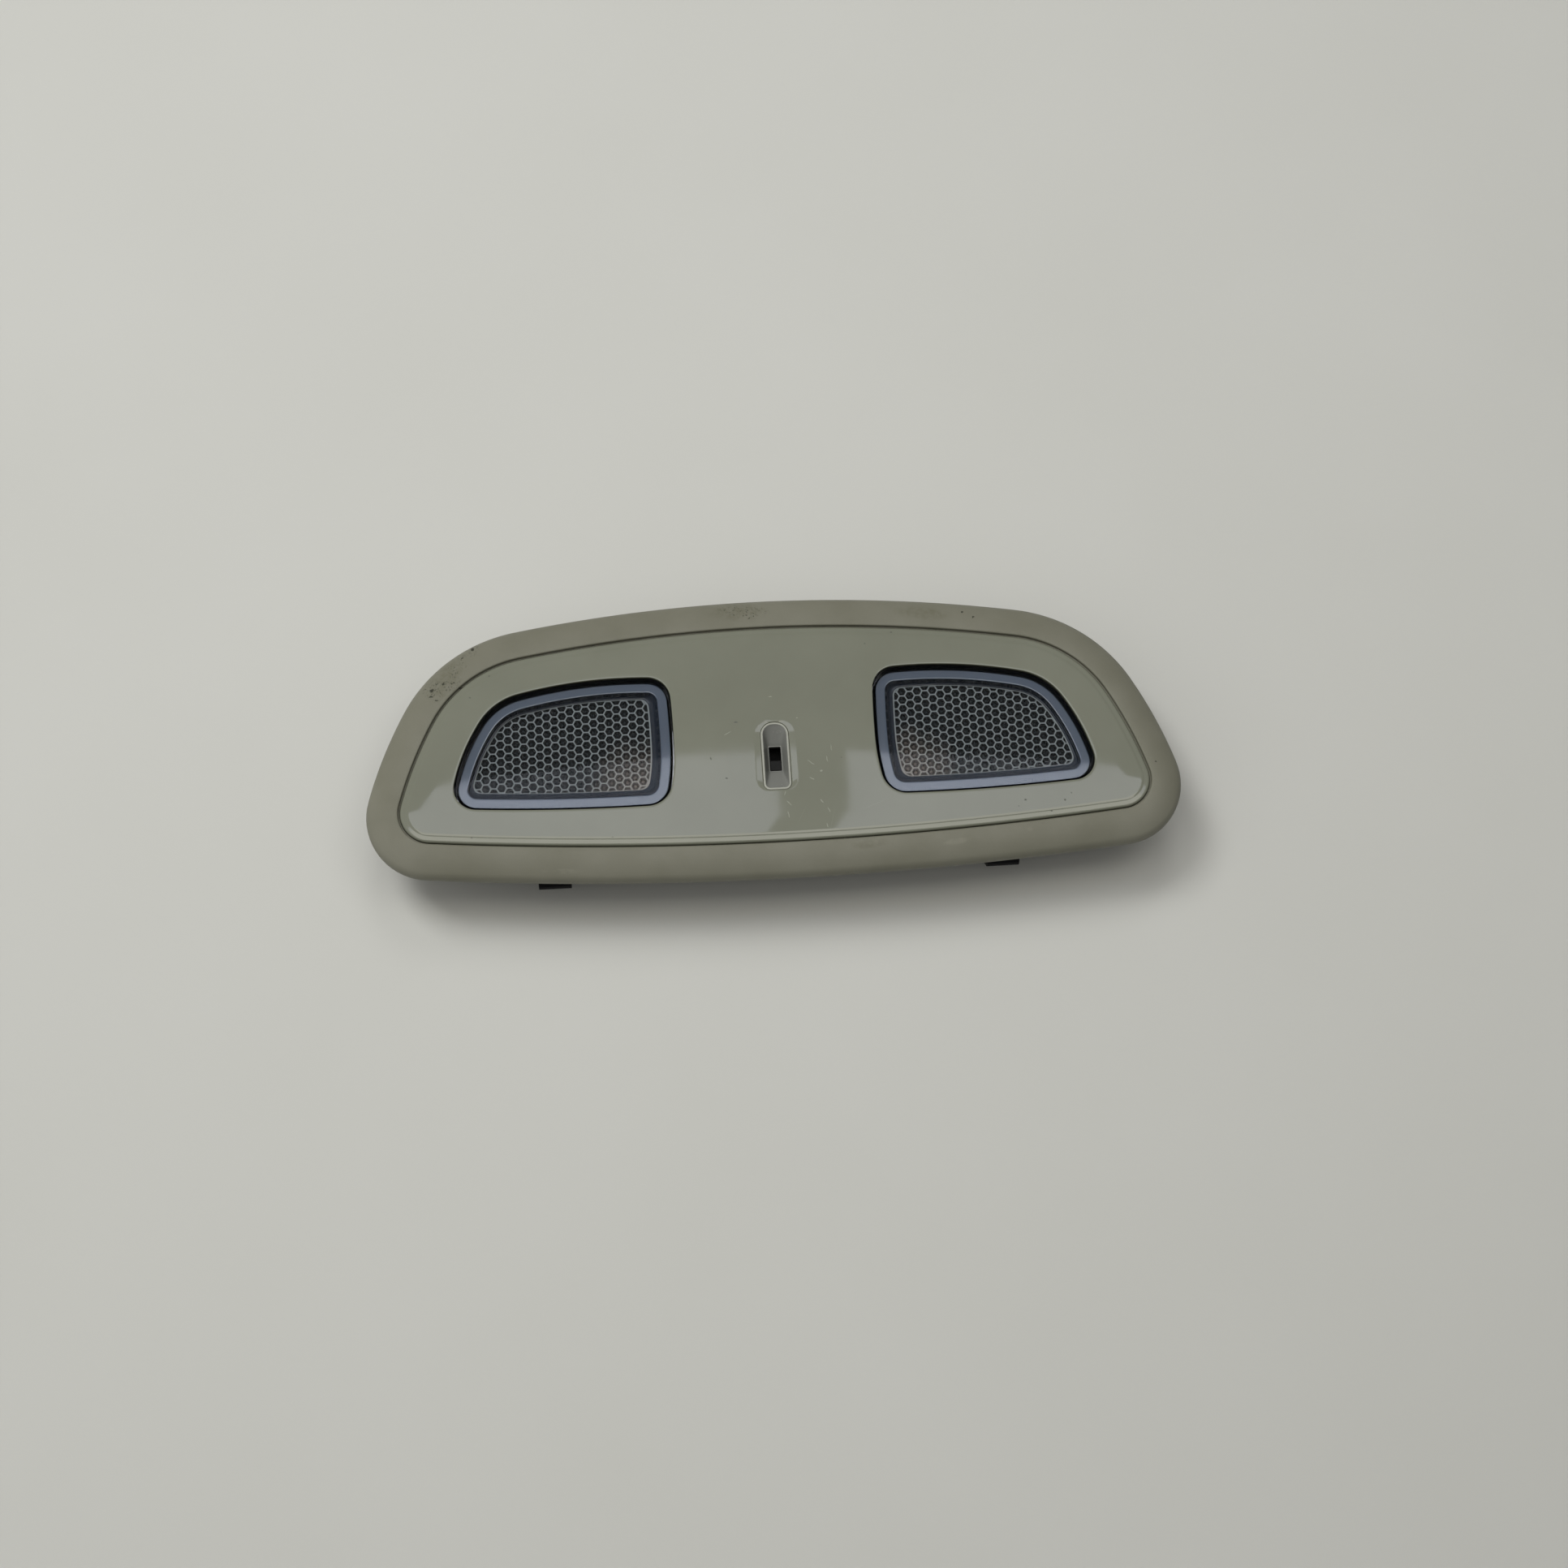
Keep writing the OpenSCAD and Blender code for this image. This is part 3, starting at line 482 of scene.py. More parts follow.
# the same ABS down in the shade of the lens windows, painted near black as painted shade
channel_painted_shade = moulded("abs_painted_shade_dark", "#23231f", 0.5, grain=0.5, depth=0.01)
cover_finish = clear_polycarbonate()
# smoke-blue polycarbonate off a polished tool: a cool, shiny blue grey
band_finish = moulded("polished_polycarbonate_blue_grey", "#344052", 0.06, grain=3.0, depth=0.001,
                      ior=1.66, coat=0.8)
# the pocket's slopes, the band's blue grey painted darker navy as painted shade down in the pocket
pocket_painted_shade = moulded("polished_polycarbonate_navy_painted_shade", "#161d28", 0.09, grain=3.0, depth=0.001, ior=1.38)
# outer walls and foot, painted near black as painted shade where no light gets behind
skirt_painted_shade = moulded("polished_polycarbonate_painted_shade", "#0d1218", 0.12, grain=3.0, depth=0.001)
comb_colour_and_painted_light = smoke_comb()
# acetal, moulded black: slightly waxy
knob_finish = moulded("acetal_near_black", "#0c0c0b", 0.42, grain=0.25, depth=0.01, ior=1.3)
# the same slider down in the switch, painted darker as painted shade where hardly any light reaches
slider_painted_shade = moulded("acetal_black_painted_shade", "#040404", 0.6, grain=0.25, depth=0.01, ior=1.3)


# ---------------------------------------------------------------- bezel
INNER_EDGE_R, FOOT_R = 0.4, 0.3
# a step inside the opening, which narrows the gap round the panel below the edge that shows
STEP_IN, STEP_DEPTH = 0.4, 1.3


def make_bezel():
    """Rolled rim: one section with crown, outer edge, foot and ledge, carried round the outline."""
    crown = math.degrees(math.asin((RIM_W - INNER_EDGE_R - EDGE_R) / (CROWN_R - EDGE_R)))
    crown_middle = np.array([INNER_EDGE_R, FACE_Z - CROWN_R])
    edge_middle = crown_middle + (CROWN_R - EDGE_R) * heading(crown)
    start = math.degrees(math.asin((RIM_T - INNER_EDGE_R) / (CROWN_R - RIM_T)))
    section = arc((INNER_EDGE_R, FACE_Z - INNER_EDGE_R), INNER_EDGE_R, -90, 0, 4)
    section += arc(crown_middle, CROWN_R, 0, crown, 12)[1:]
    section += arc(edge_middle, EDGE_R, crown, 90, 12)[1:]
    section += arc((RIM_W - FOOT_R, RIM_Z + FOOT_R), FOOT_R, 90, 180, 3)
    section += arc((RIM_W - RIM_T + FOOT_R, RIM_Z + FOOT_R), FOOT_R, 180, 270, 3)
    section += arc(edge_middle, EDGE_R - RIM_T, 90, crown, 4)
    section += arc(crown_middle, CROWN_R - RIM_T, crown, start, 4)[1:]
    section += [np.array(p) for p in (
        (RIM_T, HOUSING_Z), (-LEDGE_IN, HOUSING_Z), (-LEDGE_IN, LEDGE_Z), (-STEP_IN, LEDGE_Z),
        (-STEP_IN, FACE_Z - STEP_DEPTH - 0.1), (-STEP_IN + 0.1, FACE_Z - STEP_DEPTH),
        (0, FACE_Z - STEP_DEPTH))]
    solid = Solid()
    rings = [solid.ring(outline(p[0]), p[1]) for p in section]
    solid.wall(rings[::-1] + [rings[-1]])
    return solid.make("bezel_rolled_rim", [bezel_finish])


# ---------------------------------------------------------------- face panel
# from the flat middle outward: slow crown, narrow crease, sloping shoulder, round nose (widths and tilts)
CROWN_ZONE, CROWN_TILT = 6.0, 2.2
CREASE_W, CREASE_TILT = 0.3, 20.0
SHOULDER, SHOULDER_TILT, NOSE_R = 0.95, 5.5, 0.7
WINDOW_EDGE_R, WINDOW_MARGIN = 0.22, 0.4
# the shallow dish round the recess; its slope eases in over the first share of its width
DISH_W, DISH_L, DISH_R, DISH_TILT, DISH_EASE = 11.6, 20.1, 3.8, 2.2, 0.125
# radii of the recess opening, at the viewer's end and at the far end
OPENING_NEAR_R, OPENING_FAR_R = 1.95, 3.55
SKIRT_W, POST_R = 2, 3


def make_panel():
    """Polished plate: slow crown towards a rolled edge, eased window edges, shallow dish round the recess."""
    solid = Solid()
    edge = -PANEL_GAP
    tilt = math.radians(SHOULDER_TILT)
    flat_edge = edge - NOSE_R * (1 - math.sin(tilt)) - SHOULDER - CREASE_W - CROWN_ZONE
    profile = [np.array([flat_edge, FACE_Z])]
    for k in range(1, 9):
        slope = math.radians(CROWN_TILT) * (k - 0.5) / 8
        profile.append(profile[-1] + CROWN_ZONE / 8 * np.array([1, -math.tan(slope)]))
    steps = [(CREASE_W / 2, CREASE_TILT), (CREASE_W / 2, SHOULDER_TILT)]
    for width, turn in steps + [(SHOULDER / 5, SHOULDER_TILT)] * 5:
        profile.append(profile[-1] + width * np.array([1, -math.tan(math.radians(turn))]))
    centre = profile[-1] - NOSE_R * heading(SHOULDER_TILT)
    profile += arc(centre, NOSE_R, SHOULDER_TILT, 90, 8)[1:] + [np.array([edge, LEDGE_Z])]
    profile = profile[::-1]
    outer = [solid.ring(outline(p[0]), p[1]) for p in profile]
    solid.wall(outer)
    hidden = [solid.ring(outline(edge - SKIRT_W), z) for z in (LEDGE_Z, PANEL_UNDER)]
    solid.wall([hidden[1], hidden[0], outer[0]])
    holes, under_holes = [], []
    for side in (1, -1):
        lip = arc((WINDOW_EDGE_R, FACE_Z - WINDOW_EDGE_R), WINDOW_EDGE_R, 0, -90, 6)
        rings = [solid.ring(window(WINDOW_EDGE_R + WINDOW_MARGIN, side), FACE_Z)]
        rings += [solid.ring(window(p[0], side), p[1]) for p in lip]
        rings.append(solid.ring(window(0, side), FACE_Z - 1.0))
        solid.wall(rings)
        low = PANEL_UNDER - COLLAR_H
        # the window's wall and the collar below it are painted dark: painted shade
        dark = [rings[-1], solid.ring(window(0, side), low), solid.ring(window(COLLAR_T, side), low),
                solid.ring(window(COLLAR_T, side), PANEL_UNDER)]
        solid.wall(dark, 1)
        holes.append(rings[0])
        under_holes.append(dark[-1])
    wide = soft_rect(DISH_W, DISH_L, DISH_R)
    # a flat margin outside the dish keeps its slope out of the shading of the panel's middle
    margin = wide + (wide - (0, BOWL_Y)) * (0.08, 0.05)
    dish = [solid.ring(margin, FACE_Z)]
    tight = soft_rect(BOWL_W + 0.16, BOWL_L + 0.16, OPENING_NEAR_R + 0.05, far_radius=OPENING_FAR_R + 0.05)
    reach = np.hypot(*(wide - tight).T) * math.tan(math.radians(DISH_TILT))
    for k in range(13):
        share = k / 12
        fall = share ** 2 / (2 * DISH_EASE) if share < DISH_EASE else share - DISH_EASE / 2
        dish.append(solid.ring(wide + (tight - wide) * share, FACE_Z - reach * fall))
    for x, z in ((0.02, 0.03), (0.0, 0.1), (0.0, 1.0)):
        edge_loop = soft_rect(BOWL_W + 2 * x, BOWL_L + 2 * x, OPENING_NEAR_R + x,
                              far_radius=OPENING_FAR_R + x)
        dish.append(solid.ring(edge_loop, FACE_Z - (1 - DISH_EASE / 2) * reach - z))
    opening = soft_rect(BOWL_W, BOWL_L, OPENING_NEAR_R, far_radius=OPENING_FAR_R)
    dish.append(solid.ring(opening, PANEL_UNDER))
    solid.wall(dish)
    solid.fill(outer[-1], holes + [dish[0]], True)
    solid.fill(hidden[1], under_holes + [dish[-1]], False)
    post_top, bore_r = PANEL_UNDER + 0.2, SCREW_R + 0.05
    for x, y in SCREWS:
        post = [solid.ring(soft_rect(2 * r, 2 * r, r - 1e-3, (x, y), 8, 0), z) for r, z in (
            (bore_r, post_top), (bore_r, HOUSING_Z), (POST_R, HOUSING_Z), (POST_R, post_top))]
        solid.wall(post)
    return solid.make("face_panel", [panel_finish, channel_painted_shade])


# ---------------------------------------------------------------- finger recess and slide knob
RECESS_FLOOR, RECESS_TOP, RECESS_WALL, FLANGE = FACE_Z - 3.4, FACE_Z - 0.06, 1.2, 5
RECESS_NEAR_R, RECESS_FAR_R = 1.9, 3.5
# the lip: radius of its outer round, then width and fall of the round that leads into the slopes
LIP_R, LIP_W, LIP_FALL = 0.35, 0.9, 0.45


def make_recess():
    """Recess with a soft lip and four slopes that narrow to the slot, and a flange behind the panel."""
    solid = Solid()
    width, length = BOWL_W - 0.12, BOWL_L - 0.12
    back = RECESS_FLOOR - RECESS_WALL

    def recess_ring(inward, z):
        """The recess outline, inward by half the given amount all round."""
        return solid.ring(soft_rect(width - inward, length - inward, RECESS_NEAR_R - inward / 2,
                                    far_radius=RECESS_FAR_R - inward / 2), z)

    flange = soft_rect(width + FLANGE, length + FLANGE, 3.5)
    rings = [solid.ring(soft_rect(SLOT_W, SLOT_L, 0.3, (0, SLOT_Y)), back),
             solid.ring(flange, back), solid.ring(flange, PANEL_UNDER),
             recess_ring(0, PANEL_UNDER), recess_ring(0, RECESS_TOP - LIP_R)]
    lip_start = len(rings) - 1
    for k in range(1, 7):
        turn = math.radians(15 * k)
        rings.append(recess_ring(2 * LIP_R * (1 - math.cos(turn)),
                                 RECESS_TOP - LIP_R + LIP_R * math.sin(turn)))
    for k in range(1, 6):
        turn = math.radians(10 * k)
        inward = 2 * LIP_R + LIP_W * math.sin(turn)
        slope_top = RECESS_TOP - LIP_FALL * (1 - math.cos(turn))
        rings.append(recess_ring(inward, slope_top))
    lip_end = len(rings) - 3
    start = np.array([width - inward, length - inward, RECESS_NEAR_R - inward / 2, RECESS_FAR_R - inward / 2])
    end = np.array([SLOT_W + 0.6, SLOT_L + 0.6, 0.4, 0.6])
    for k in range(1, 9):
        share = k / 8
        size = start + (end - start) * share
        middle = (0, BOWL_Y + (SLOT_Y - BOWL_Y) * share)
        loop = soft_rect(*size[:3], middle, far_radius=size[3])
        rings.append(solid.ring(loop, slope_top + (RECESS_FLOOR + 0.05 - slope_top) * share))
    rings += [solid.ring(soft_rect(SLOT_W + 0.4, SLOT_L + 0.5, 0.35, (0, SLOT_Y)), RECESS_FLOOR),
              solid.ring(soft_rect(SLOT_W, SLOT_L, 0.3, (0, SLOT_Y)), RECESS_FLOOR - 0.05)]
    solid.wall(rings[:lip_start + 1])
    # the lip's rounds take the paler finish, a painted highlight
    solid.wall(rings[lip_start:lip_end + 1], 1)
    solid.wall(rings[lip_end:] + [rings[0]])
    return solid.make("finger_recess", [recess_finish, lip_painted_highlight], smooth_below=32)


KNOB_TOP, KNOB_W = FACE_Z - 3.1, SLOT_W - 0.2
KNOB_MIDDLE = (0, SLOT_Y - SLOT_L / 2 + 0.05 + KNOB_L / 2)


def make_knob():
    """Slide knob with eased edges, on the slider that runs inside the switch."""
    solid = Solid()
    rings = [solid.ring(soft_rect(KNOB_W - ease, KNOB_L - ease, radius, KNOB_MIDDLE, 4, 0), z)
             for ease, radius, z in (
                 (0, 0.15, BOARD_TOP + 4.5), (0, 0.15, KNOB_TOP - 0.2), (0.1, 0.15, KNOB_TOP - 0.06),
                 (0.4, 0.1, KNOB_TOP), (0.5, 0.1, KNOB_TOP))]
    solid.wall(rings)
    solid.cap(rings[-1])
    solid.cap(rings[0], False)
    # the slider below the knob takes the darker black, painted shade down in the slot
    solid.box((-2.7, SLOT_Y - 4.75, BOARD_TOP + 2.8), (2.7, SLOT_Y + 0.45, BOARD_TOP + 5), 1)
    return solid.make("slide_knob_cap", [knob_finish, slider_painted_shade], smooth_below=30)


# ---------------------------------------------------------------- lenses
# how far each lens sits off the middle of its window, outward and away from the viewer
SEAT = (-0.05, -0.12)
COVER_EDGE_R = 0.3


def seated(offset, side):
    """Outline of the lens as it sits in its window: a little towards the near side and the middle."""
    return window(offset, side) + (side * SEAT[0], SEAT[1])


def make_cover(side):
    """Clear cap: flat face with a rounded edge and a skirt all round; the skirt is painted near black as
    painted shade.
    """
    solid = Solid()
    top = FACE_Z - LENS_STEP
    outer = [(-LENS_GAP, SKIRT_FOOT)]
    outer += arc((-LENS_GAP - COVER_EDGE_R, top - COVER_EDGE_R), COVER_EDGE_R, 90, 0, 4)
    outer += [(-LENS_GAP - COVER_EDGE_R - 0.06, top)]
    skirt, under = -LENS_GAP - SKIRT_T, top - COVER_T
    inner = [(skirt - 0.4, under), (skirt - 0.2, under), (skirt, under - 0.2), (skirt, SKIRT_FOOT)]
    rings = [solid.ring(seated(d, side), z) for d, z in outer]
    inside_rings = [solid.ring(seated(d, side), z) for d, z in inner]
    solid.wall(inside_rings[:3])
    solid.wall(inside_rings[2:] + rings[:2], 1)
    solid.wall(rings[1:])
    solid.cap(rings[-1])
    solid.cap(inside_rings[0], False)
    return solid.make(f"lens_cover_{'right' if side > 0 else 'left'}", [cover_finish, skirt_painted_shade],
                      smooth_below=35)


def make_frame(side):
    """Opaque frame under the cover: flat band, pocket that slopes to the honeycomb, dark foot and walls;
    pocket, foot and walls are painted darker as painted shade.
    """
    solid = Solid()
    outer = -LENS_GAP - SKIRT_T - 0.05
    foot = -LENS_GAP - 0.1
    dark = [solid.ring(seated(d, side), z) for d, z in (
        (-2.9, COMB_Z), (-2.9, FRAME_Z), (foot, FRAME_Z), (foot, SKIRT_FOOT), (outer, SKIRT_FOOT),
        (outer, BAND_Z - 0.25))]
    # the foot and outer walls take the near-black finish, painted shade
    solid.wall(dark, 1)
    band = [dark[-1]] + [solid.ring(seated(d, side), z) for d, z in (
        (outer - 0.04, BAND_Z - 0.08), (outer - 0.15, BAND_Z), (outer - 0.25, BAND_Z))]
    band += [solid.ring(window(d, side), z) for d, z in (
        (-BAND_IN + 0.3, BAND_Z), (-BAND_IN + 0.2, BAND_Z), (-BAND_IN + 0.06, BAND_Z - 0.05),
        (-BAND_IN, BAND_Z - 0.18))]
    solid.wall(band)
    top, low = window(-BAND_IN, side), comb_edge(1.02, side)
    slope = [band[-1]]
    for k in range(1, 9):
        share = k / 8
        fall = math.sin(math.radians(90 * share)) * (BAND_Z - 0.18 - COMB_Z - 0.45)
        slope.append(solid.ring(top + (low - top) * share, BAND_Z - 0.18 - fall))
    slope += [solid.ring(comb_edge(1.004, side), COMB_Z + 0.42),
              solid.ring(comb_edge(1.0, side), COMB_Z + 0.05), dark[0]]
    # the pocket's slopes take the darker navy, painted shade
    solid.wall(slope, 2)
    arm = sorted_box((PRESS_X - 3.5, PRESS_Y - 3, ARM_Z), (PRESS_X + 7.4, PRESS_Y + 3, ARM_Z + 1.4), side)
    solid.box(*arm, 1)
    return solid.make(f"lens_frame_{'right' if side > 0 else 'left'}_band",
                      [band_finish, skirt_painted_shade, pocket_painted_shade], smooth_below=35)


def sorted_box(low, high, side):
    """A box's corners, mirrored for the left side."""
    if side < 0:
        low, high = (-high[0], low[1], low[2]), (-low[0], high[1], high[2])
    return low, high


def cell_tree():
    """Honeycomb cells on points: a hexagonal well with a ridge round it and a small dome in it."""
    tree = bpy.data.node_groups.new("honeycomb_cells", "GeometryNodeTree")
    face = tree.interface
    face.new_socket("Cell centres", in_out="INPUT", socket_type="NodeSocketGeometry")
    for name in ("Pitch", "Ridge width", "Cell depth", "Dome radius", "Dome height"):
        face.new_socket(name, in_out="INPUT", socket_type="NodeSocketFloat")
    face.new_socket("Finish", in_out="INPUT", socket_type="NodeSocketMaterial")
    face.new_socket("Honeycomb", in_out="OUTPUT", socket_type="NodeSocketGeometry")
    given = add(tree, "NodeGroupInput").outputs

    def calc(operation, a, b):
        return add(tree, "ShaderNodeMath", {0: a, 1: b}, operation=operation).outputs[0]

    corner_r = calc("DIVIDE", given["Pitch"], math.sqrt(3))
    rim_share = calc("SUBTRACT", 1.0, calc("DIVIDE", given["Ridge width"], given["Pitch"]))
    depth = given["Cell depth"]
    shape = add(tree, "GeometryNodeMeshCircle", {"Vertices": 6, "Radius": corner_r},
                fill_type="NGON").outputs[0]
    floor_face = True
    for sink, share in ((0.0, rim_share), (calc("MULTIPLY", depth, -0.3), 0.70),
            (calc("MULTIPLY", depth, -0.7), 0.94)):
        pushed = add(tree, "GeometryNodeExtrudeMesh", {
            "Mesh": shape, "Selection": floor_face, "Offset Scale": sink}, mode="FACES")
        floor_face = pushed.outputs["Top"]
        shape = add(tree, "GeometryNodeScaleElements", {
            "Geometry": pushed.outputs["Mesh"], "Selection": floor_face, "Scale": share},
            domain="FACE").outputs[0]
    ball = add(tree, "GeometryNodeMeshUVSphere", {"Segments": 12, "Rings": 6, "Radius": 1.0}).outputs[0]
    spread = add(tree, "ShaderNodeCombineXYZ", {
        "X": given["Dome radius"], "Y": given["Dome radius"], "Z": given["Dome height"]}).outputs[0]
    sunk = add(tree, "ShaderNodeCombineXYZ", {"Z": calc("MULTIPLY", depth, -1.0)}).outputs[0]
    dome = add(tree, "GeometryNodeTransform", {
        "Geometry": ball, "Translation": sunk, "Scale": spread}).outputs[0]
    wells = add(tree, "GeometryNodeInstanceOnPoints", {
        "Points": given["Cell centres"], "Instance": shape}).outputs[0]
    domes = add(tree, "GeometryNodeInstanceOnPoints", {
        "Points": given["Cell centres"], "Instance": dome}).outputs[0]
    wells = add(tree, "GeometryNodeRealizeInstances", {"Geometry": wells}).outputs[0]
    wells = add(tree, "GeometryNodeMergeByDistance", {"Geometry": wells, "Distance": 0.02 * MM}).outputs[0]
    both = add(tree, "GeometryNodeJoinGeometry")
    tree.links.new(domes, both.inputs[0])
    tree.links.new(wells, both.inputs[0])
    whole = add(tree, "GeometryNodeRealizeInstances", {"Geometry": both.outputs[0]}).outputs[0]
    painted = add(tree, "GeometryNodeSetMaterial", {
        "Geometry": whole, "Material": given["Finish"]}).outputs[0]
    add(tree, "NodeGroupOutput", {0: painted})
    return tree


# the finer cells of the scene: ridges, and a dome in each well; a cell stays if part of it lies in the pocket
CELL_RIDGE, DOME_R, DOME_H, CELL_REACH = 0.24, 0.58, 0.4, 1.15
COMB_MARGIN = -2.95


def put_in_order(cells):
    """Sorts edges and faces by their corners, because the extrusion leaves them in another order each run."""
    cells.verts.index_update()
    for items in (cells.edges, cells.faces):
        by_corners = sorted(items, key=lambda item: sorted(corner.index for corner in item.verts))
        ranks = {item: rank for rank, item in enumerate(by_corners)}
        items.sort(key=ranks.get)


def make_comb(side, tree):
    """Honeycomb plate: cells by geometry nodes on a lattice with columns along Y, over a plain plate."""
    column = CELL_PITCH * math.cos(math.radians(30))
    edge = comb_edge(1.0, 1)
    centres = []
    for i in range(-14, 16):
        for j in range(-9, 10):
            p = (CELL_ORIGIN[0] + i * column, CELL_ORIGIN[1] + (j + abs(i % 2) / 2) * CELL_PITCH)
            near = [(p[0] + CELL_REACH * x, p[1] + CELL_REACH * y)
                    for x, y in ((0, 0), (1, 0), (-1, 0), (0, 1), (0, -1))]
            if any(inside(q, edge) for q in near):
                centres.append((side * p[0] * MM, p[1] * MM, COMB_Z * MM))
    name = f"honeycomb_{'right' if side > 0 else 'left'}_lens"
    seed = bpy.data.meshes.new(name + "_centres")
    seed.from_pydata(centres, [], [])
    source = bpy.data.objects.new(name + "_cells", seed)
    bpy.context.scene.collection.objects.link(source)
    modifier = source.modifiers.new("cells", "NODES")
    modifier.node_group = tree
    sizes = {"Pitch": CELL_PITCH * MM, "Ridge width": CELL_RIDGE * MM, "Cell depth": CELL_DEPTH * MM,
             "Dome radius": DOME_R * MM, "Dome height": DOME_H * MM, "Finish": comb_colour_and_painted_light}
    for item in tree.interface.items_tree:
        if item.in_out == "INPUT" and item.name in sizes:
            modifier[item.identifier] = sizes[item.name]
    graph = bpy.context.evaluated_depsgraph_get()
    mesh = bpy.data.meshes.new_from_object(source.evaluated_get(graph), depsgraph=graph)
    bpy.data.objects.remove(source)
    cells = bmesh.new()
    cells.from_mesh(mesh)
    low = (COMB_Z - 1.0) * MM
    rim = [e for e in cells.edges if e.is_boundary]
    sides = bmesh.ops.extrude_edge_only(cells, edges=rim)["geom"]
    for v in sides:
        if isinstance(v, bmesh.types.BMVert):
            v.co.z = low
    bmesh.ops.recalc_face_normals(cells, faces=cells.faces[:])
    put_in_order(cells)
    plate = Solid()
    rings = [plate.ring(window(COMB_MARGIN, side), z) for z in (FRAME_Z + 0.1, COMB_Z - 0.9)]
    plate.wall(rings)
    plate.cap(rings[1])
    plate.cap(rings[0], False)
    border = [plate.ring(comb_edge(grow, side), COMB_Z + z) for grow, z in (
        (1.004, -0.8), (1.004, 0.02), (1.0, 0.07), (0.99, 0.07), (0.985, 0.02), (0.985, -0.8), (1.004, -0.8))]
    plate.wall(border[::-1])
    base = plate.make(name, [comb_colour_and_painted_light])
    cells.from_mesh(base.data)
    cells.to_mesh(base.data)
    cells.free()
    base.data.shade_smooth()
    base.data.set_sharp_from_angle(angle=math.radians(28))
    return base


finish_piece(make_bezel(), "housing", ["bezel"])
finish_piece(make_panel(), "housing", ["panel"])
finish_piece(make_recess(), "housing", ["switch_bowl"])
finish_piece(make_knob(), "slider", ["slide_knob"])
cells = cell_tree()
for side, word in ((1, "right"), (-1, "left")):
    body = f"{word}_lens"
    finish_piece(make_cover(side), body, [f"cover_{word}"])
    finish_piece(make_frame(side), body, [f"lens_frame_{word}"])
    finish_piece(make_comb(side, cells), body, [f"honeycomb_{word}"])

# ---------------------------------------------------------------- carried-over pieces
# glass-filled nylon, moulded black: dull, with a coarse grain
housing_finish = moulded("glass_filled_nylon_black", "#26272a", 0.48, grain=0.5, depth=0.03)
black_finish = moulded("pbt_black", "#090909", 0.7, grain=0.4, depth=0.015, ior=1.3)
cream_finish = moulded("nylon_natural", "#dcd8cb", 0.42, grain=0.5, depth=0.01)
cap_finish = moulded("acetal_cream", "#c9c8bf", 0.3, grain=0.5, depth=0.005)
board_finish = moulded("glass_epoxy_green_lacquer", "#1b4f2c", 0.25, grain=1.2, depth=0.006)
brass_finish = metal("tinned_brass", "#c8bd93", "#a4966a", 0.35, 0.3)
spring_finish = metal("blackened_spring_steel", "#161618", "#0b0b0d", 0.45, 0.5)
screw_finish = metal("zinc_plated_steel", "#a9abad", "#7d7f82", 0.38, 0.3)
reflector_finish = metallised()
glass_finish = lamp_glass()
CARRIED = {
    "rear_housing": housing_finish, "slide_switch": black_finish, "slide_terminals": brass_finish,
    "circuit_board": board_finish, "connector_socket": cream_finish, "connector_pins": brass_finish,
    "housing_screws": screw_finish}
for word in ("left", "right"):
    CARRIED.update({
        f"reflector_{word}": reflector_finish, f"bulb_{word}": glass_finish,
        f"bulb_holder_{word}": black_finish, f"bulb_contacts_{word}": brass_finish,
        f"press_switch_{word}": black_finish, f"plunger_{word}": cap_finish,
        f"clip_near_{word}": spring_finish, f"clip_far_{word}": spring_finish})
for name, material in CARRIED.items():
    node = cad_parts[name]
    node.data.materials.clear()
    node.data.materials.append(material)

# ---------------------------------------------------------------- camera
# where the photograph was taken from, in mm
EYE = (-38.93, -191.56, 636.76)
camera_data = bpy.data.cameras.new("camera")
camera_data.lens, camera_data.sensor_width = 53.096, 36.0
camera_data.clip_start, camera_data.clip_end = 0.01, 20.0
camera = bpy.data.objects.new("camera", camera_data)
camera.location = [c * MM for c in EYE]
camera.rotation_euler = Euler([math.radians(a) for a in (16.3413, -2.7103, -3.783)])
bpy.context.scene.collection.objects.link(camera)
bpy.context.scene.camera = camera

# ---------------------------------------------------------------- floor and light
floor_material, tree, where = new_material("painted_board_off_white")
floor_colour = blend_colour(tree, noise(tree, where, 90.0, 3.0), linear("#c6c6c0"), linear("#cbcbc6"))
surface(tree, add(tree, "ShaderNodeBsdfPrincipled", {
    "Base Color": floor_colour, "Roughness": 0.6, "Specular IOR Level": 0.2,
    "Normal": bump(tree, noise(tree, where, 1.5, 3.0), 0.02)}).outputs[0])
floor_mesh = bpy.data.meshes.new("floor")
floor_mesh.from_pydata([(x, y, 0) for x, y in ((-4, -4), (4, -4), (4, 4), (-4, 4))], [], [(0, 1, 2, 3)])
floor_mesh.materials.append(floor_material)
floor = bpy.data.objects.new("floor", floor_mesh)
bpy.context.scene.collection.objects.link(floor)

SOFTBOX_Z = 900.0


def above(x, y):
    """Where, at the softbox's height, the camera sees through the mirror of the flat face at x, y."""
    grow = (SOFTBOX_Z + EYE[2] - 2 * FACE_Z) / (EYE[2] - FACE_Z)
    return EYE[0] + (x - EYE[0]) * grow, EYE[1] + (y - EYE[1]) * grow


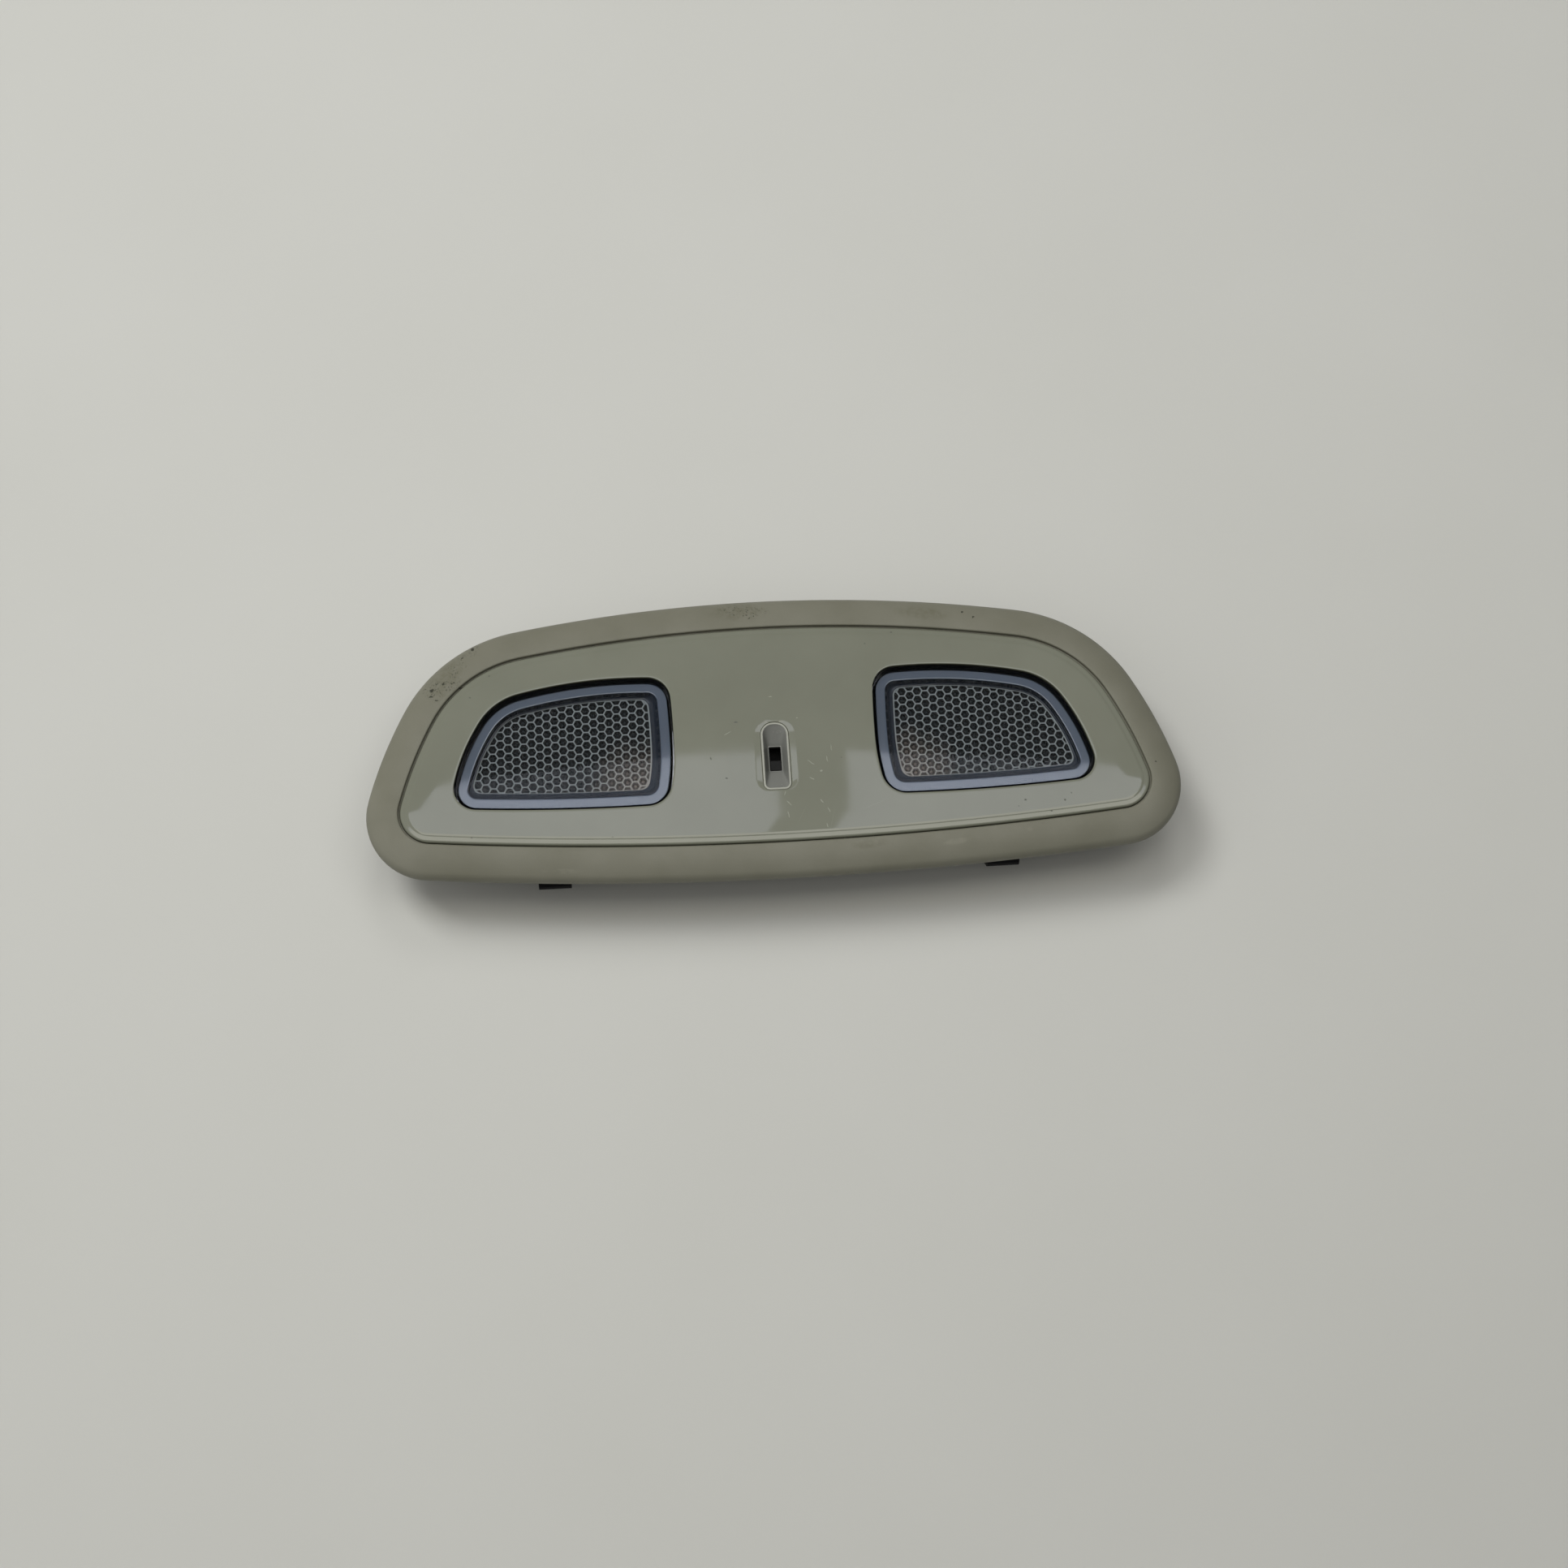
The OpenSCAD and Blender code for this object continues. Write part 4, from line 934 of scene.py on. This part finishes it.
def softbox(name, shape, strength, tint):
    """Flat glowing cloth above the light, with its corners in mm."""
    mesh = bpy.data.meshes.new(name)
    mesh.from_pydata([(x * MM, y * MM, SOFTBOX_Z * MM) for x, y in shape], [], [tuple(range(len(shape)))])
    material = bpy.data.materials.new(name + "_cloth")
    material.use_nodes = True
    glow = material.node_tree
    glow.nodes.clear()
    surface(glow, add(glow, "ShaderNodeEmission", {"Color": tint, "Strength": strength}).outputs[0])
    mesh.materials.append(material)
    made = bpy.data.objects.new(name, mesh)
    bpy.context.scene.collection.objects.link(made)


# two cool boxes with a gap between them, and a warmer, brighter one nearer to the viewer that closes the gap
SOFT, TINT = 2.08, (0.97, 0.99, 1.06, 1.0)
LOW_SOFT, LOW_TINT = 2.7, (1.02, 1.0, 0.93, 1.0)
LOW_Y, NEAR, LEFT, RIGHT = 105, -100, -330, 470
# their far edges, given by where the polished face mirrors them
left_edge = [above(x, y) for x, y in (
    (-128, -16), (-100, -11.5), (-88, -9.5), (-60, -7.2), (-28, -5.2), (0, -5))]
right_edge = [above(x, y) for x, y in (
    (19.5, -6), (45, -8.4), (70, -11), (90, -13.5), (105, -15.5), (150, -22))]
left_shape = [(LEFT, left_edge[0][1])] + left_edge + [(56, 214), (46, 144), (38, LOW_Y), (LEFT, LOW_Y)]
right_shape = right_edge + [(RIGHT, right_edge[-1][1]), (RIGHT, LOW_Y), (82, LOW_Y), (92, 144), (103, 226)]
softbox("softbox_left", left_shape, SOFT, TINT)
softbox("softbox_right", right_shape, SOFT, TINT)
softbox("softbox_low", [(LEFT, LOW_Y), (RIGHT, LOW_Y), (RIGHT, NEAR), (LEFT, NEAR)], LOW_SOFT, LOW_TINT)


def lamp(name, place, size, power):
    """Square soft lamp that faces the object; the polished face doesn't mirror it."""
    data = bpy.data.lights.new(name, "AREA")
    data.shape, data.size, data.energy = "SQUARE", size, power
    made = bpy.data.objects.new(name, data)
    made.location = place
    made.rotation_euler = (-Vector(place)).to_track_quat("-Z", "Y").to_euler()
    bpy.context.scene.collection.objects.link(made)
    made.visible_glossy = False


lamp("window_far_left", (-0.6, 0.5, 1.3), 0.5, 9.8)
lamp("ceiling_far", (0.1, 0.95, 1.4), 0.4, 2.3)

world = bpy.data.worlds.new("room")
world.use_nodes = True
room = world.node_tree
room.nodes.clear()
toward = add(room, "ShaderNodeTexCoord").outputs["Generated"]


def glow_from(direction, sharpness):
    """Light that comes mostly from one direction."""
    aim = tuple(Vector(direction).normalized())
    facing = add(room, "ShaderNodeVectorMath", {0: toward, 1: aim}, operation="DOT_PRODUCT").outputs["Value"]
    return math_node(room, "POWER", math_node(room, "MAXIMUM", facing, 0.0), sharpness)


amount = math_node(room, "MULTIPLY", glow_from((0, 0, 1), 4), 0.68)
for direction, sharpness, strength in (((-1, 0, 0.25), 3, 0.80), ((0.4, -1, 0.1), 2, 0.08)):
    amount = math_node(room, "MULTIPLY_ADD", glow_from(direction, sharpness), strength, amount)
light = add(room, "ShaderNodeBackground", {"Color": (1.0, 0.995, 0.97, 1.0), "Strength": amount})
backdrop = add(room, "ShaderNodeBackground", {"Color": linear("#c3c4be")})
path = add(room, "ShaderNodeLightPath").outputs
seen = math_node(room, "MULTIPLY_ADD", path["Is Glossy Ray"], 0.45, path["Is Camera Ray"])
sky = add(room, "ShaderNodeMixShader", {0: seen, 1: light.outputs[0], 2: backdrop.outputs[0]})
add(room, "ShaderNodeOutputWorld", {"Surface": sky.outputs[0]})
bpy.context.scene.world = world
bpy.context.scene.view_settings.view_transform = "Standard"
